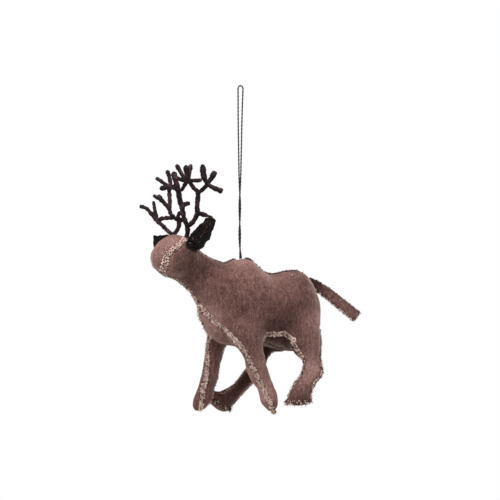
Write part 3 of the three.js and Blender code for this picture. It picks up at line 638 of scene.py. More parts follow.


# Each seam: its points, the CAD nodes it stands for, its height in millimetres, or its heights at both ends,
# its share of pale yarn, and which frayed piece its threads belong to. The pale share is partly painted light
# and shade: higher on the seams at the front and near side, where light falls, and lower on the back, the
# rear and the far side.
seam_rows = {
    "left_head_edge": (LEFT_HEAD, ["left_head_seam"], (1.0, 1.75), 0.95, "head"),
    "right_head_edge": (mirrored_on_head(LEFT_HEAD, 5.0), ["right_head_seam"], (0.9, 1.3), 0.93, "head"),
    "left_throat_edge": (LEFT_THROAT, [], 0.5, 0.8, "head"),
    "right_throat_edge": ([*mirrored_on_head(LEFT_THROAT[:2], 4.0), *mirrored(LEFT_THROAT[2:])], [], 0.4, 0.6,
                          "head"),
    "left_chest_edge": (LEFT_CHEST, ["left_chest_seam", "left_leg_seam"], (1.25, 0.85), 0.85, "front"),
    "right_chest_edge": (RIGHT_CHEST, ["right_chest_seam", "right_leg_seam"], 1.15, 0.85, "front"),
    "left_belly_edge": (LEFT_BELLY, ["left_belly_seam"], 1.25, 0.88, "hind"),
    "right_belly_edge": (RIGHT_BELLY, ["right_belly_seam"], 1.0, 0.75, "hind"),
    "left_hind_front_edge": (LEFT_HIND_FRONT, [], 0.75, 0.55, "hind"),
    "left_hind_rear_edge": (LEFT_HIND_REAR, [], 0.4, 0.3, "hind"),
    "left_hind_hock_edge": (LEFT_HOCK, [], 0.85, 0.6, "hind"),
    "right_hind_front_edge": (RIGHT_HIND_FRONT, [], 0.4, 0.5, "hind"),
    "right_hind_rear_edge": (RIGHT_HIND_REAR, [], 0.3, 0.4, "hind"),
    "left_front_rear_edge": (LEFT_FRONT_REAR, [], 0.35, 0.5, "front"),
    "right_front_rear_edge": (RIGHT_FRONT_REAR, [], 0.35, 0.5, "front"),
    "fold_edge": (BELLY_FOLD, [], 0.8, 1.0, None),
    "neck_back_edge": (BACK, [], 0.4, 0.05, "back"),
    "back_edge": (BACK_REAR, ["back_seam"], 0.6, 0.05, "back"),
    "rump_edge": (RUMP, [], 0.35, 0.1, "back"),
}
bare = surface_of(skin)
laid_seams = {name: laid(row[0], bare) for name, row in seam_rows.items()}


def heights(height, count):
    """A seam's height at each of its places: one value, or a pair for its start and its end."""
    return np.linspace(*np.broadcast_to(height, 2), count)


def puffed(item):
    """Fills the skin out as its stuffing does: the skin starts a little small, cloth pressure swells it
    between its pinned seams, and no point moves further than the cap."""
    start, _ = mesh_arrays(item.data)
    _, distance = nearest_rows(start, np.concatenate([place for place, _ in laid_seams.values()]))
    held = np.exp(-(distance / 1.7) ** 2)
    start -= vertex_normals(item) * SHRINK
    set_points(item, start)
    move = vertex_normals(item) * (SWELL * (1 - held))[:, None]
    group = item.vertex_groups.new(name="seams")
    for level in range(1, 11):
        group.add(np.flatnonzero(np.round(held * 10) == level).tolist(), level / 10, "REPLACE")
    cloth = item.modifiers.new("filling", "CLOTH")
    cloth.settings.quality = 3
    cloth.settings.tension_stiffness = cloth.settings.compression_stiffness = 4
    cloth.settings.shear_stiffness, cloth.settings.bending_stiffness = 2, 0.05
    cloth.settings.shrink_min = -0.02
    cloth.settings.use_pressure = True
    cloth.settings.uniform_pressure_force = PRESSURE
    cloth.settings.vertex_group_mass = "seams"
    cloth.settings.effector_weights.gravity = 0
    cloth.collision_settings.use_collision = False
    cloth.point_cache.frame_start, cloth.point_cache.frame_end = 1, 20
    for step in range(1, 21):
        scene.frame_set(step)
    applied(item)
    item.vertex_groups.clear()
    scene.frame_set(1)
    move = mesh_arrays(item.data)[0] - start
    move *= np.minimum(1, SWELL / np.maximum(np.linalg.norm(move, axis=1), 1e-6))[:, None]
    set_points(item, start + move)


# How wide and how deep the skin is drawn in along a seam of 1 mm; the gathers' distance along the seam, how
# far they reach from it and how high they stand; the distance and the height of the folds below the hock.
DRAWN_WIDTH, DRAWN_DEPTH = 2.2, 0.45
GATHER_PITCH, GATHER_REACH, GATHER_HEIGHT = 4.3, 4.5, 0.16
FOLD_PITCH, FOLD_HEIGHT, HOCK = 3.1, 0.28, ((44, -19, -76), 7)


def risen(values, start, over):
    """0 at the start and 1 at start + over, straight between them and level past them."""
    return np.clip((values - start) / over, 0, 1)


def between(local, left, right):
    """1 between the two seams and 0 outside them, from the side of the nearer seam that a point lies on."""
    inside = np.ones(len(local))
    for name, sign in ((left, -1), (right, 1)):
        place, out = laid_seams[name]
        nearest, _ = nearest_rows(local, place - WITHERS)
        across = np.cross(out, tangents(place))[nearest]
        offset = np.sum((local - (place - WITHERS)[nearest]) * across, -1) * sign
        inside *= np.clip(0.5 + offset / 1.5, 0, 1)
    return inside


def shape_skin(item):
    """Draws the skin in along its seams, with small gathers across them, adds the soft lumps of the filling
    and the folds below the near hock, and marks painted light and shade: where the velvet is coloured paler
    or darker."""
    points, edges = mesh_arrays(item.data)
    normals = vertex_normals(item)
    lines = np.concatenate([place for place, _ in laid_seams.values()])
    runs = np.concatenate([run_length(place) for place, _ in laid_seams.values()])
    depth = np.concatenate([heights(seam_rows[key][2], len(place)) for key, (place, _) in laid_seams.items()])
    nearest, distance = nearest_rows(points, lines)
    depth = depth[nearest]
    groove = np.exp(-(distance / DRAWN_WIDTH) ** 2) * DRAWN_DEPTH * depth
    gathers = np.sin(2 * math.pi * runs[nearest] / GATHER_PITCH + waves(points, 9, 3))
    gathers *= np.exp(-(distance / GATHER_REACH) ** 2)
    lumps = 0.2 * waves(points, 26, 5) + 0.12 * waves(points, 9, 6)
    local = points - WITHERS
    folds = np.sin(2 * math.pi * (local[:, 2] + 0.3 * local[:, 0]) / FOLD_PITCH + 0.8 * waves(points, 8, 4))
    folds *= bells([HOCK], local)[0]
    move = lumps - groove + GATHER_HEIGHT * gathers * depth + FOLD_HEIGHT * folds
    points = points + normals * move[:, None]
    set_points(item, relaxed(points, edges, [0.4, -0.41] * 2))
    local = points - WITHERS
    x, y, z = local.T
    # The forehead's own panel has its nap the other way and is marked paler, partly for that and partly as
    # painted light; the gusset under the belly and the legs' inner sides are marked with painted shade. Where
    # the tone table is above 0 it adds painted light, and below 0 painted shade.
    forehead = between(local, "left_head_edge", "right_head_edge") * (risen(x, -40, -3) * risen(z, -10, 4))
    below = 1.25 * risen(z, -50.5, -2.5) * risen(np.abs(y), 19, -2) * (risen(x, 2, 5) * risen(x, 40, -8))
    below *= risen(z, -70, 4)
    inner = np.clip(-normals[:, 1] * np.sign(y), 0, 1) * risen(z, -52, -6) * risen(x, -10, 6)
    tone = np.sum([row[2] * near for row, near in zip(PAINTED_LIGHT_AND_SHADE, bells(PAINTED_LIGHT_AND_SHADE, local, mirror=True))], axis=0)
    mark(item.data, {
        "pale": np.clip(0.8 * forehead + np.maximum(tone * (1 - inner), 0), 0, 1),
        "shade": np.clip(0.9 * below + inner + np.maximum(-tone, 0) * (1 - forehead), 0, 1)})


puffed(skin)
shape_skin(skin)
subdivided(skin)
coated(skin, velvet)
finish_piece(skin, "reindeer", "velvet", *STUFFED)
final_surface = surface_of(skin)


# Raw edges: two layers of cut velvet that stand up along each seam, with frayed yarn between and beside them.

def edge_strip(place, out, side, height, seed):
    """One layer: a thin leaning strip whose height and lean waver and whose cut edge is ragged, as a flat
    closed tube of eight sides."""
    count = len(place)
    ahead = tangents(place)
    across = unit(np.cross(out, ahead))
    wobble, flutter = waves(place, 4.5, seed), waves(place, 1.8, seed + 1)
    ragged = np.random.default_rng(seed).normal(0, 0.12, count)
    tall = heights(height, count) * (1 + 0.2 * wobble + 0.12 * flutter + ragged)
    ends = np.minimum(np.arange(count), np.arange(count)[::-1])
    tall = np.clip(tall, 0.2, 2) * np.clip(ends / 4, 0.25, 1)
    lean = side * (0.3 + 0.3 * flutter + 0.15 * wobble)
    up = unit(out + across * lean[:, None])
    thick = np.cross(ahead, up)
    base = place + across * (side * 0.25) - out * 0.5
    profile_up = np.array([0, 0.5, 0.9, 1.0, 1.0, 0.9, 0.5, 0])
    profile_across = np.array([-1, -1, -0.9, -0.4, 0.4, 0.9, 1, 1]) * 0.25
    rise = profile_up[None, :, None] * (tall + 0.5)[:, None, None] * up[:, None]
    rings = base[:, None] + rise + profile_across[None, :, None] * thick[:, None]
    raw = np.array([0, 0.15, 0.7, 1, 1, 0.7, 0.4, 0.1] if side < 0 else [0.1, 0.4, 0.7, 1, 1, 0.7, 0.15, 0])
    return rings, np.tile(raw, (count, 1))


def strands(source, roots, directions, lengths, radius, tints):
    """Frayed ends: each is a three-sided spike of three rings that curls away as it grows."""
    count = len(roots)
    directions = unit(directions)
    side = unit(np.cross(directions, source.normal(size=(count, 3))))
    other = np.cross(directions, side)
    curl = side * source.uniform(-0.7, 0.7, (count, 1)) + other * source.uniform(-0.7, 0.7, (count, 1))
    angle = np.array([0, 2, 4]) * math.pi / 3
    rings = []
    for share, width in ((0, 1), (0.55, 0.9), (1, 0.35)):
        centre = roots + (directions + curl * share) * (lengths * share)[:, None]
        rings.append(centre[:, None] + radius * width * (
            side[:, None] * np.cos(angle)[None, :, None] + other[:, None] * np.sin(angle)[None, :, None]))
    points = np.stack(rings, 1).reshape(-1, 3)
    caps = np.array([[0, 2, 1], [6, 7, 8]])
    first = (np.arange(count) * 9)[:, None, None]
    faces = (grid_faces(3, 3)[None] + first).reshape(-1, 4)
    caps = (caps[None] + first).reshape(-1, 3)
    return points, np.concatenate([faces[:, [0, 1, 2]], faces[:, [0, 2, 3]], caps]), np.repeat(tints, 9)


def nubs(source, centres, directions, sizes, tints):
    """Little curls of backing yarn: six-pointed grains drawn out along their own directions."""
    count = len(centres)
    ahead = unit(directions)
    side = unit(np.cross(ahead, source.normal(size=(count, 3))))
    other = np.cross(ahead, side)
    axes = np.stack([ahead * 1.2, -ahead, side, -side, other * 0.8, -other * 0.8], 1)
    points = centres[:, None] + axes * sizes[:, None, None]
    corners = np.array([[0, 2, 4], [0, 4, 3], [0, 3, 5], [0, 5, 2],
                        [1, 4, 2], [1, 3, 4], [1, 5, 3], [1, 2, 5]])
    faces = (corners[None] + (np.arange(count) * 6)[:, None, None]).reshape(-1, 3)
    return points.reshape(-1, 3), faces, np.repeat(tints, 6)


def make_edge(name, nodes, height, paleness, seed):
    """The seam's standing layers as one piece, and the rows that its threads fray along, as make_fray reads
    them. The fold under the belly has one layer."""
    rough, _ = laid_seams[name]
    place, out = laid(rough[::3] - WITHERS, final_surface)
    parts = []
    for side in ((1,) if name == "fold_edge" else (-1, 1)):
        rings, raw = edge_strip(place, out, side, np.multiply(0.72, height), seed + 7 * side)
        # The cut edge's pale backing is scaled by the seam's pale share, so it carries that painted light and
        # shade.
        parts.append((*closed_tube(rings), with_ends(raw) * min(1, paleness * 0.85)))
    points, faces, raw = joined(parts)
    finish_piece(new_object(name, points, faces, raw_edge, {"raw": raw}), "reindeer", "raw_edge", *nodes)
    across = unit(np.cross(out, tangents(place)))
    return [(place + side * 0.35 * across + 0.35 * out, unit(0.6 * out + side * across), out, paleness,
             heights(height, len(place)) * (1 if side else 0.7))
            for side in ((-1, 0, 1) if "head" in name or "chest" in name else (-1, 1))]


def make_fray(name, rows, density, seed, reach=1.0, spread=0.55, curls=0.6):
    """Frayed yarn as one piece: density spikes to a millimetre along each row, and curls little curls to a
    spike. A row is its places, their growing and their outward directions, its share of cream yarn and its
    height. The threads come in tufts, where a wave along the row is high, and those of a tuft are mostly of
    one shade, backing yarn or pile. Reach lengthens the spikes, and spread ruffles them."""
    source = np.random.default_rng(seed)

    def picked(count, share, chance, shade):
        pick = source.choice(len(chance), count, p=chance / chance.sum())
        score = shade[pick] + source.normal(0, 0.7, count)
        cream = score <= np.quantile(score, share)
        tint = np.where(cream, source.normal(0.7, 0.14, count), source.normal(0.1, 0.1, count))
        return pick, np.clip(tint, 0, 1), source.normal(size=(count, 3)), source.normal(size=(count, 3))

    parts = []
    for number, (tip, up, out, paleness, height) in enumerate(rows):
        height = np.broadcast_to(height, len(tip))
        chance = np.clip(0.9 + 0.35 * waves(tip, 1.6, seed + number), 0.25, None)
        shade = waves(tip, 0.9, seed + 50 + number)
        count = int(run_length(tip)[-1] * density)
        pick, tint, offset, turn = picked(count, 0.75 * paleness, chance, shade)
        lengths = np.clip(source.gamma(3.0, 0.3, count) * height[pick] * reach, 0.25, 2.6)
        parts.append(strands(source, tip[pick] + offset * 0.25, up[pick] + out[pick] * 0.1 + turn * spread,
                             lengths, 0.12 + 0.05 * reach, tint))
        count = int(run_length(tip)[-1] * density * curls)
        pick, tint, offset, turn = picked(count, paleness, chance, shade)
        tint = np.where(tint > 0.4, np.clip(tint + 0.15, 0, 1), tint)
        sizes = source.uniform(0.24, 0.48, count) * (0.5 + 0.5 * height[pick])
        rise = up[pick] * source.uniform(0.2, 1.2, (count, 1)) * height[pick, None]
        parts.append(nubs(source, tip[pick] + rise + offset * 0.25, turn, sizes, tint))
    points, faces, tint = joined(parts)
    return new_object(name, points, faces, yarn, {"tint": tint})


def make_edges():
    rows = {"head": [], "front": [], "hind": [], "back": []}
    for number, (name, (_, nodes, height, paleness, threads)) in enumerate(seam_rows.items()):
        made = make_edge(name, nodes, height, paleness, 40 + 20 * number)
        if threads:
            rows[threads] += made
    # A few threads stand at the hip, and the chest seam ends in a tuft under the near front foot.
    hip = [(33.4, -9.2, -11.6), (34, -9, -11.9), (34.6, -8.8, -12.5), (35.2, -8.6, -13)]
    hip, out = laid(hip, final_surface)
    rows["back"].append((hip, unit(out + [0, 0, 0.6]), out, 0.8, 0.45))
    foot = np.linspace((16.4, -15, -101), (18.8, -15.4, -101), 12) + WITHERS
    down, out = np.tile([0.1, 0.0, -1.0], (12, 1)), np.tile(VIEW_BACK, (12, 1))
    rows["front"] += [(foot + out * offset, down, out, 0.6, 2.0) for offset in (-1, 0, 1, 2)]
    for number, (group, made) in enumerate(rows.items()):
        finish_piece(make_fray(group + "_seam_fray", made, 6, 11 + number), "reindeer", "raw_edge")


make_edges()


# The hind legs' cut ends, with a ragged hem: the middle of each, its reach along and across, its slope and
# its share of pale yarn, which is lower on the far hoof as painted shade.
HOOVES = {"left_hoof_fray": ((35.2, -15.5, -96.3), (9.4, 6.2), 0.05, 0.45),
          "right_hoof_fray": ((-9.5, 23.5, -98.3), (9.6, 6.2), -0.3, 0.12)}


def make_hoof_fray(name, centre, reach, slope, paleness, seed):
    """A ragged hem round the leg's end: its points are the nearest on the skin to a level oval."""
    turn = np.linspace(0, 2 * math.pi, 90)
    ring = np.stack([np.cos(turn) * reach[0], np.sin(turn) * reach[1], np.cos(turn) * reach[0] * slope], -1)
    place, out = on_surface(ring + np.array(centre) + WITHERS, final_surface)
    out = unit(out)
    down = np.tile([0.0, 0.0, -1.0], (len(place), 1))
    rows = [(place + out * 0.15 + [0, 0, rise], unit(0.4 * out + down), out, paleness, 0.9)
            for rise in (0, 1, 2)]
    finish_piece(make_fray(name, rows, 3, seed, 1.7, 0.3), "reindeer", "raw_edge")


for number, (name, row) in enumerate(HOOVES.items()):
    make_hoof_fray(name, *row, 60 + number)


def make_thread_curl():
    """A curl of loose seam thread that stands on the belly seam: just over a turn of a flat open spiral."""
    turn = np.linspace(0.2 * math.pi, 2.5 * math.pi, 40)[:, None]
    radius = 1.0 + 0.12 * turn / math.pi
    middle = np.array([29.3, -21.2, -54.2]) + WITHERS
    path = middle + radius * (np.cos(turn) * VIEW_RIGHT + np.sin(turn) * np.array([0.0, 0.0, 1.0]))
    path = path + np.array([0.0, -0.3, 0.0]) * turn / math.pi
    points, faces = rod(path, -VIEW_BACK, 0.3, round_of(8))
    item = new_object("loose_thread_curl", points, faces, yarn, {"tint": np.full(len(points), 0.66)})
    finish_piece(item, "reindeer", "raw_edge")


make_thread_curl()


# Ears

def leaf(name, root, lean, side, table, cup, fold, thickness, body, node):
    """An ear: a cupped leaf on a spine from its root. Each row of the table is a share of the length, the
    place along it, the reach to either side and the bow, in millimetres. The edge on one side rolls over."""
    lean, side = unit(np.array(lean)), np.array(side)
    side = unit(side - lean * (side @ lean))
    face = np.cross(side, lean)
    shares = np.linspace(0, 1, 48)
    table = np.array(table, float)
    along, low, high, bow = (np.interp(shares, table[:, 0], table[:, k]) for k in (1, 2, 3, 4))
    kernel = np.array([1, 2, 3, 2, 1]) / 9
    low, high, bow = (np.convolve(np.pad(row, 2, "edge"), kernel, "valid") for row in (low, high, bow))
    across = np.linspace(-1, 1, 29)[None]
    reach = np.where(across < 0, low[:, None], high[:, None]) * across
    # The hollow runs out at the root and at the tip.
    hollow = np.sin(math.pi * np.clip(shares, 0.12, 0.95))[:, None]
    rolled = np.clip((across - 0.5) / 0.5, 0, 1) ** 1.5 * hollow
    rise = cup * across ** 2 * hollow + bow[:, None] + fold * rolled
    reach = reach - 0.7 * fold * rolled
    grid = (np.array(root) + WITHERS) + lean * along[:, None, None]
    grid = grid + side * reach[..., None] + face * rise[..., None]
    flat = grid.reshape(-1, 3)
    dents = 0.4 * waves(flat, 9, 8) + 0.22 * waves(flat, 5, 9) + 0.14 * waves(flat, 2.6, 10)
    grid = grid + face * dents.reshape(*reach.shape, 1)
    grid = grid + side * (0.35 * waves(flat, 7, 12) + 0.2 * waves(flat, 3.5, 13)).reshape(*reach.shape, 1)
    edge = 1 - np.abs(across) ** 6
    wall = thickness / 2 * (0.45 + 0.55 * edge)[..., None]
    rings = np.concatenate([grid + face * wall, (grid - face * wall)[:, ::-1]], 1)
    points, faces = closed_tube(rings)
    # Painted shade: the flecks fade out towards the rolled side, which is left near-black as shade; they fade
    # at the rims too, and the back shows fewer of them.
    show = edge * np.clip((0.5 - across) / 0.5, 0.1, 1)
    show = np.tile(np.concatenate([show, 0.4 * edge], 1), (len(shares), 1))
    item = subdivided(new_object(name, points, faces, ear_velvet, {"face": with_ends(show)}))
    finish_piece(item, body, "ear_velvet", node, sewn=(root, np.array(root) + lean * 8))


# Rows: share of the spine, millimetres along it, reach to the one side and to the other, and bow.
NEAR_EAR = [(0, -1.6, 3.2, 3.0, -0.6), (0.12, 0, 5.2, 4.7, 0), (0.3, 4.5, 6.3, 6.7, 0.5),
            (0.5, 10.5, 6.6, 6.8, 0.7), (0.7, 16.5, 6.0, 5.4, 0.5), (0.84, 20.3, 4.5, 3.7, 0.1),
            (0.94, 22.8, 2.3, 2.5, -0.4), (1, 23.8, 0.9, 1.3, -0.8)]
FAR_EAR = [(0, -3, 2.4, 2.4, 0), (0.14, 1, 3.6, 3.6, 0.2), (0.35, 7, 5, 4.9, 0.4), (0.6, 13, 5.6, 5.1, 0.4),
           (0.85, 18.3, 5.8, 5.4, 0), (0.95, 20.2, 5.6, 5.2, -0.3), (1, 21, 5.0, 4.4, -0.5)]
leaf("left_ear_leaf", (-38.3, -11.8, 8.1), (0.416, -0.492, 0.76), (0.836, -0.068, -0.6),
     NEAR_EAR, 1.6, 1.7, 1.3, "left_ear", "left_ear")
leaf("right_ear_leaf", (-40.3, 8.8, 9.4), (-0.53, 0.82, 0.02), (0.06, -0.1, -1),
     FAR_EAR, 1.5, 1.2, 1.3, "right_ear", "right_ear")


# Eyes: a bead's radius in millimetres, and its thickness as a share of its width.
BEAD_RADIUS, BEAD_FLATTENED = 2.2, 0.75


def facing(centre, out):
    """A place on the head in the row frame, and its outward, sideways and upward directions."""
    out = unit(np.array(out))
    across = unit(np.cross(out, [0, 0, 1.0]))
    return np.array(centre) + WITHERS, out, across, np.cross(across, out)


def make_eye(name, centre, out, node):
    """A bead slightly flattened along its hole: a sphere by latitude and longitude about its outward axis."""
    centre, out, across, up = facing(centre, out)
    latitude = np.linspace(0.06, math.pi - 0.06, 22)[:, None]
    turn = round_of(32)
    rings = centre + BEAD_RADIUS * (
        across * (np.sin(latitude) * np.cos(turn))[..., None]
        + up * (np.sin(latitude) * np.sin(turn))[..., None]
        + BEAD_FLATTENED * out * (np.cos(latitude) * np.ones_like(turn))[..., None])
    finish_piece(new_object(name, *closed_tube(rings), bead), "reindeer", "bead", node)


make_eye("left_bead", (-40.7, -13.7, 9.4), (-0.35, -0.8, 0.45), "left_eye")
make_eye("right_bead", (-45.3, 9.3, 10.2), (0.05, 0.81, 0.58), "right_eye")


def make_eye_patch(name, centre, out, reach):
    """The scrap of ear velvet under a bead: rings about the bead, laid on the skin, that rise in a low dome
    and pass back below the skin; its outline wavers."""
    centre, out, across, up = facing(centre, out)
    turn = round_of(44)
    radii = np.concatenate([np.linspace(0.05, 1, 12), np.linspace(1, 0.05, 6)])[:, None]
    outline = reach * (1 + 0.1 * np.sin(3 * turn + 2) + 0.06 * np.sin(7 * turn + 4))
    flat = centre + (across * (radii * outline * np.cos(turn))[..., None]
                     + up * (radii * outline * np.sin(turn))[..., None])
    place, _ = on_surface(flat.reshape(-1, 3), final_surface)
    rise = np.concatenate([0.4 + 0.3 * (1 - radii[:12] ** 2), np.full((6, 1), -0.7)])
    points, faces = closed_tube(place.reshape(flat.shape) + out * rise[..., None])
    item = new_object(name, points, faces, ear_velvet, {"face": np.full(len(points), 0.15)})
    finish_piece(item, "reindeer", "ear_velvet")


make_eye_patch("left_eye_patch", (-38.8, -12.6, 9.2), (0.37, -0.72, 0.58), 5.6)
make_eye_patch("right_eye_patch", (-44.8, 8.6, 9.4), (0.05, 0.81, 0.58), 4.7)


# Antlers: the run of each twig in thousandths of the antlers' height: to the rear, to the right and up.
# Before each run stands the radius of the club at its tip, or 0 where it runs on into the next spray.
ANTLER_HEIGHT = 48.7
ANTLER_TURN = math.radians(-22)
LEFT_ROOT, RIGHT_ROOT = (-40.34, -4.26, 14.67), (-47.78, 2.65, 14.98)
LEFT_SPRAYS = {
    "left_antler_beam": (1.65, [
        (1.9, [(0, 0, -80), (12, 0, 0), (22, -10, 70), (12, -20, 143), (-24, -45, 235),
               (-50, -90, 372), (-80, -130, 478), (-97, -165, 585), (-117, -190, 676),
               (-144, -205, 782), (-168, -220, 865)]),
        (1.7, [(-112, -180, 630), (-165, -195, 655), (-229, -200, 653), (-295, -210, 645),
               (-350, -220, 626)]),
        (1.35, [(-63, -100, 395), (-10, -140, 425), (55, -190, 440)])]),
    "left_antler_rear_fork": (1.6, [
        (0, [(-5, -40, 170), (30, -20, 145), (75, -15, 170), (122, 0, 235), (150, 0, 311),
             (149, -10, 387), (157, -20, 480), (165, -30, 585), (165, -30, 630)]),
        (0.95, [(150, 0, 311), (195, 10, 300), (245, 20, 287), (310, 30, 265), (360, 30, 245)])]),
    "left_antler_rear_crown": (1.4, [
        (2, [(158, -30, 540), (170, -30, 585), (210, -30, 615), (255, -30, 656), (285, -30, 697),
             (250, -50, 775), (230, -70, 880), (225, -80, 970)]),
        (1.9, [(281, -30, 699), (340, 20, 780), (396, 50, 878)]),
        (1.95, [(281, -30, 699), (340, -60, 668), (400, -90, 638), (497, -120, 597)])]),
    "left_antler_front_crown": (1.35, [
        (1.9, [(157, -30, 550), (150, -30, 605), (107, -40, 645), (60, -50, 710), (30, -60, 752),
               (12, -100, 860), (0, -120, 955)]),
        (1.6, [(30, -60, 752), (45, 0, 860), (62, 40, 972)]),
        (1.35, [(30, -60, 752), (-20, -20, 775), (-66, 10, 850), (-137, 40, 970)]),
        (1.35, [(30, -60, 752), (100, -110, 745), (215, -170, 750)]),
        (1.15, [(30, -60, 752), (-15, -10, 695), (-68, 60, 605)]),
        (1.2, [(30, -60, 752), (-30, 0, 752), (-75, 30, 765), (-130, 50, 790)])]),
}
RIGHT_SPRAYS = {
    "right_antler_beam": (1.4, [
        (0, [(0, 0, -80), (0, 0, 0), (45, 10, 35), (80, 15, 90), (98, 20, 150), (80, 25, 207),
             (32, 30, 243), (-12, 50, 285), (-34, 70, 365), (-30, 90, 460), (-35, 110, 542),
             (-43, 120, 600)]),
        (1.3, [(68, 25, 200), (85, 10, 260), (112, 0, 330)]),
        (1.4, [(40, 30, 232), (90, 30, 222), (165, 30, 200)])]),
    "right_antler_front_fork": (1.4, [
        (1.3, [(0, 0, 20), (-37, 10, 45), (-87, 30, 92), (-147, 55, 150), (-205, 80, 200),
               (-270, 100, 280), (-353, 120, 370), (-448, 140, 402)]),
        (1.05, [(-205, 80, 195), (-228, 120, 305), (-256, 160, 472)]),
        (0, [(-205, 80, 195), (-155, 60, 225), (-60, 40, 238), (20, 35, 238)])]),
    "right_antler_mid_crown": (1.28, [
        (1.2, [(-30, 70, 340), (-90, 100, 425), (-165, 110, 490), (-262, 120, 549)]),
        (1.6, [(-90, 100, 425), (-130, 140, 470), (-200, 190, 554)])]),
    "right_antler_top_crown": (1.35, [
        (1.25, [(-43, 120, 580), (-45, 130, 650), (-109, 150, 708), (-224, 180, 790)]),
        (1.45, [(-43, 120, 600), (-22, 100, 668), (-34, 120, 770), (-72, 140, 893)])]),
}
# The floss's winding and the remesh's grain, in millimetres.
FLOSS_PITCH, TWIG_VOXEL = 1.3, 0.32


def make_spray(node, stem_radius, twigs, root, seed):
    """Twigs fused into one branching body. A twig's radius is the stem's, swells smoothly to the club's over
    the middle of its run and closes round the tip; a fine ridge winds round it, as the floss does."""
    turn, angle, parts = turned(ANTLER_TURN), round_of(14), []
    for club_radius, twig in twigs:
        path = smooth_path(np.array(twig) / 1000 * ANTLER_HEIGHT @ turn.T + np.array(root) + WITHERS, 0.3)
        run = run_length(path)
        left = run[-1] - run
        swell = np.clip((run / run[-1] - 0.42) / 0.34, 0, 1) * (club_radius > 0)
        swell = swell * swell * (3 - 2 * swell) * np.clip(left / 1.5 + 0.75, 0, 1)
        radius = stem_radius + (club_radius - stem_radius) * swell
        ends = np.sqrt(np.clip(1 - (1 - np.clip(np.minimum(run, left) / radius, 0, 1)) ** 2, 0.01, 1))
        radius = radius * ends * (1 + 0.06 * waves(path, 3, seed))
        ridge = 1 + 0.045 * np.sin(2 * math.pi * run[:, None] / FLOSS_PITCH + angle)
        least = np.eye(3)[np.abs(unit(path[-1] - path[0])).argmin()]
        parts.append(rod(path, least, radius[:, None] * ridge, angle))
    item = remeshed(new_object(node + "_twigs", *joined(parts), wire), TWIG_VOXEL)
    points, edges = mesh_arrays(item.data)
    points = relaxed(points, edges, [0.45, -0.45] * 2)
    set_points(item, points)
    rough = 0.09 * waves(points, 1.4, seed + 1) + 0.07 * waves(points, 0.8, seed + 2)
    set_points(item, points + vertex_normals(item) * rough[:, None])
    coated(item, wire)
    finish_piece(item, "reindeer", "wrapped_twig" if "crown" in node else "wrapped_wire", node)


for sprays, root in ((LEFT_SPRAYS, LEFT_ROOT), (RIGHT_SPRAYS, RIGHT_ROOT)):
    for number, (node, (stem_radius, twigs)) in enumerate(sprays.items()):
        make_spray(node, stem_radius, twigs, root, 80 + 5 * number)


# Tail: two places at its root, passed on as its sewn places, and its half height along its length.
TAIL_FOLD = (51, 0, -16), (60, 0, -22)
TAIL_SHARES, TAIL_HEIGHTS = [0, 0.1, 0.3, 0.6, 1], [2.3, 2.8, 3.2, 3.4, 3.5]


def make_tail():
    """A flat strip on edge that hangs back in a slight curve, with worn edges: a rounded rectangle carried
    along its spine, its corners pulled about by two sizes of noise."""
    spine = np.array([(49.2, 0, -14.6), (53.4, 0, -17.4), (58, 0.1, -20.5), (64, 0.3, -24.2),
                      (70, 0.4, -28.6), (76, 0.3, -33), (81.5, 0, -37.2), (84.4, -0.1, -39.4)]) + WITHERS
    path = smooth_path(spine, 0.45)
    share = np.linspace(0, 1, len(path))[:, None]
    angle = round_of(28)
    box = (np.abs(np.cos(angle)) ** 5 + np.abs(np.sin(angle)) ** 5) ** (-1 / 5)
    tall = np.interp(share, TAIL_SHARES, TAIL_HEIGHTS)
    thick = np.interp(share, [0, 0.1, 0.3, 1], [0.45, 0.6, 1.15, 1.15])
    across = np.tile([0.0, 1.0, 0.0], (len(path), 1))
    rings = swept(path, across, thick * box * np.cos(angle), tall * box * np.sin(angle))
    flat = rings.reshape(-1, 3)
    rings = (flat + 0.12 * np.stack([waves(flat, 3.2, 70 + k) for k in range(3)], -1)).reshape(rings.shape)
    points, faces = closed_tube(rings)
    # Painted shadow in the fold at its root, and painted light where it hangs free.
    along = np.clip((points[:, 0] - 52) / 12, 0, 1)
    painted_tail_shading = {"pale": along * 0.4, "shade": 1.6 * (1 - along)}
    item = subdivided(new_object("tail_strip", points, faces, velvet, painted_tail_shading))
    finish_piece(item, "tail", "velvet", "tail", sewn=TAIL_FOLD)
    ahead = tangents(path)
    up = np.cross(ahead, across)
    keep = slice(int(len(path) * 0.12), None)
    rows = []
    for sign, paleness, height in ((1, 0.1, 0.3), (-1, 0.35, 0.55)):
        edge = path + up * (sign * np.interp(share, TAIL_SHARES, TAIL_HEIGHTS) * 0.97)
        rows += [(edge[keep] + across[keep] * offset, up[keep] * sign, up[keep] * sign, paleness, height)
                 for offset in (-0.9, 0.9)]
    tip = path[-1] + up[-1] * np.linspace(-3.6, 3.6, 30)[:, None] + ahead[-1] * 0.3
    out = np.tile(ahead[-1], (30, 1))
    rows += [(tip + across[-1] * offset, out, out, 0.4, 0.7) for offset in (-0.8, 0, 0.8)]
    finish_piece(make_fray("tail_fray", rows, 6, 71, curls=1.2), "tail", "raw_edge", sewn=TAIL_FOLD)


make_tail()


# Knot and its stitch, in the slit of the back

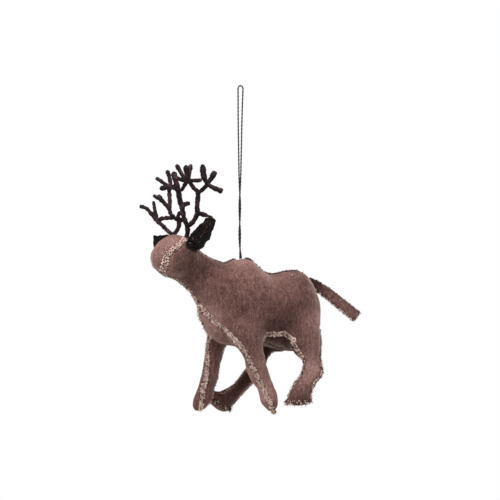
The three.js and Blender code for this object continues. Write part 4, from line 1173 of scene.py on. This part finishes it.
def make_knot():
    """The knotted cord end, a trefoil path with nearly the cord's own thickness, in the pocket below the
    back, and the ring of thread that holds it there."""
    turn, angle, middle = round_of(90)[0], round_of(10), np.array([0, 0, -2.3])
    path = np.stack([np.sin(turn) + 2 * np.sin(2 * turn), np.cos(turn) - 2 * np.cos(2 * turn),
                     -np.sin(3 * turn)], -1)
    path = np.concatenate([path, path[:1]]) * 0.3 + middle + WITHERS
    points, faces = rod(path, unit(np.cross(tangents(path), path - path.mean(0))), 0.4, angle)
    knot = new_object("cord_knot_turns", points, faces, cord_finish, {"crown": np.full(len(points), 0.5)})
    finish_piece(knot, "knot", "cord_thread", "cord_knot")
    turn = np.linspace(0, 2 * math.pi, 60)
    ring = np.stack([np.cos(turn) * 2.15, np.sin(turn) * 2.15, 0 * turn], -1) + middle + WITHERS
    points, faces = rod(ring, unit(ring - ring.mean(0)), 0.33, angle)
    stitch = new_object("anchor_stitch_thread", points, faces, raw_edge, {"raw": np.ones(len(points))})
    finish_piece(stitch, "stitch", "raw_edge", "anchor_stitch")


make_knot()


# Stage, light and view: the floor's height below the frame's origin and the rings of its mesh, in
# millimetres, the reach over which it fades, in metres, and the strength of the even light.
FLOOR_LEVEL, FLOOR_RINGS = -320.0, [0.1, 60, 120, 180, 240, 300]
FADE_START, FADE_END = 0.16, 0.295
SOFT_LIGHT = 0.38


def make_stage():
    """A pale round floor well below the hanging reindeer, fading into the white ground at its rim."""
    turn = round_of(96)
    radii = np.array(FLOOR_RINGS)[:, None]
    x, y = radii * np.cos(turn), radii * np.sin(turn)
    rings = np.stack([x, y, np.full_like(x, FLOOR_LEVEL)], -1)
    material, tree = new_tree("pale_floor")
    place = add_node(tree, "TexCoord", give="Object")
    flat = add_node(tree, "VectorMath", {"operation": "MULTIPLY"}, i0=place, i1=(1, 1, 0))
    far = add_node(tree, "VectorMath", {"operation": "LENGTH"}, "Value", i0=flat)
    rim = add_node(tree, "MapRange", {"interpolation_type": "SMOOTHSTEP"}, i0=far, i1=FADE_START,
                   i2=FADE_END)
    plain = add_node(tree, "BsdfPrincipled", **{"Base Color": linear("#F4F3F1")}, Roughness=0.9)
    mix = add_node(tree, "MixShader", i0=rim, i1=plain, i2=add_node(tree, "BsdfTransparent"))
    add_node(tree, "OutputMaterial", Surface=mix)
    floor = new_object("floor", rings.reshape(-1, 3), grid_faces(*x.shape), material, closed=False)


def make_world():
    """Soft even light, and plain white where the camera or a reflection sees past the object."""
    world = bpy.data.worlds.new("studio")
    world.use_nodes = True
    scene.world = world
    tree = world.node_tree
    tree.nodes.clear()
    rays = add_node(tree, "LightPath").node.outputs
    seen = rays["Is Camera Ray"]
    for kind in ("Is Glossy Ray", "Is Transmission Ray"):
        seen = add_node(tree, "Math", {"operation": "MAXIMUM"}, i0=seen, i1=rays[kind])
    soft, white = (add_node(tree, "Background", Color=linear("#FFFFFF"), Strength=strength)
                   for strength in (SOFT_LIGHT, 1.0))
    add_node(tree, "OutputWorld", Surface=add_node(tree, "MixShader", i0=seen, i1=soft, i2=white))


def add_softbox(name, place, size, power):
    light = bpy.data.lights.new(name, "AREA")
    light.shape, light.size, light.energy = "DISK", size, power
    item = bpy.data.objects.new(name, light)
    item.location = place
    aim = Vector((0, 0, -0.14)) - Vector(place)
    item.rotation_euler = aim.to_track_quat("-Z", "Y").to_euler()
    scene.collection.objects.link(item)


make_stage()
make_world()
add_softbox("key", (-0.7, -0.6, 0.9), 0.5, 15.0)
add_softbox("top", (0.35, -0.15, 1.1), 0.6, 10.0)
scene.view_settings.view_transform = "Standard"
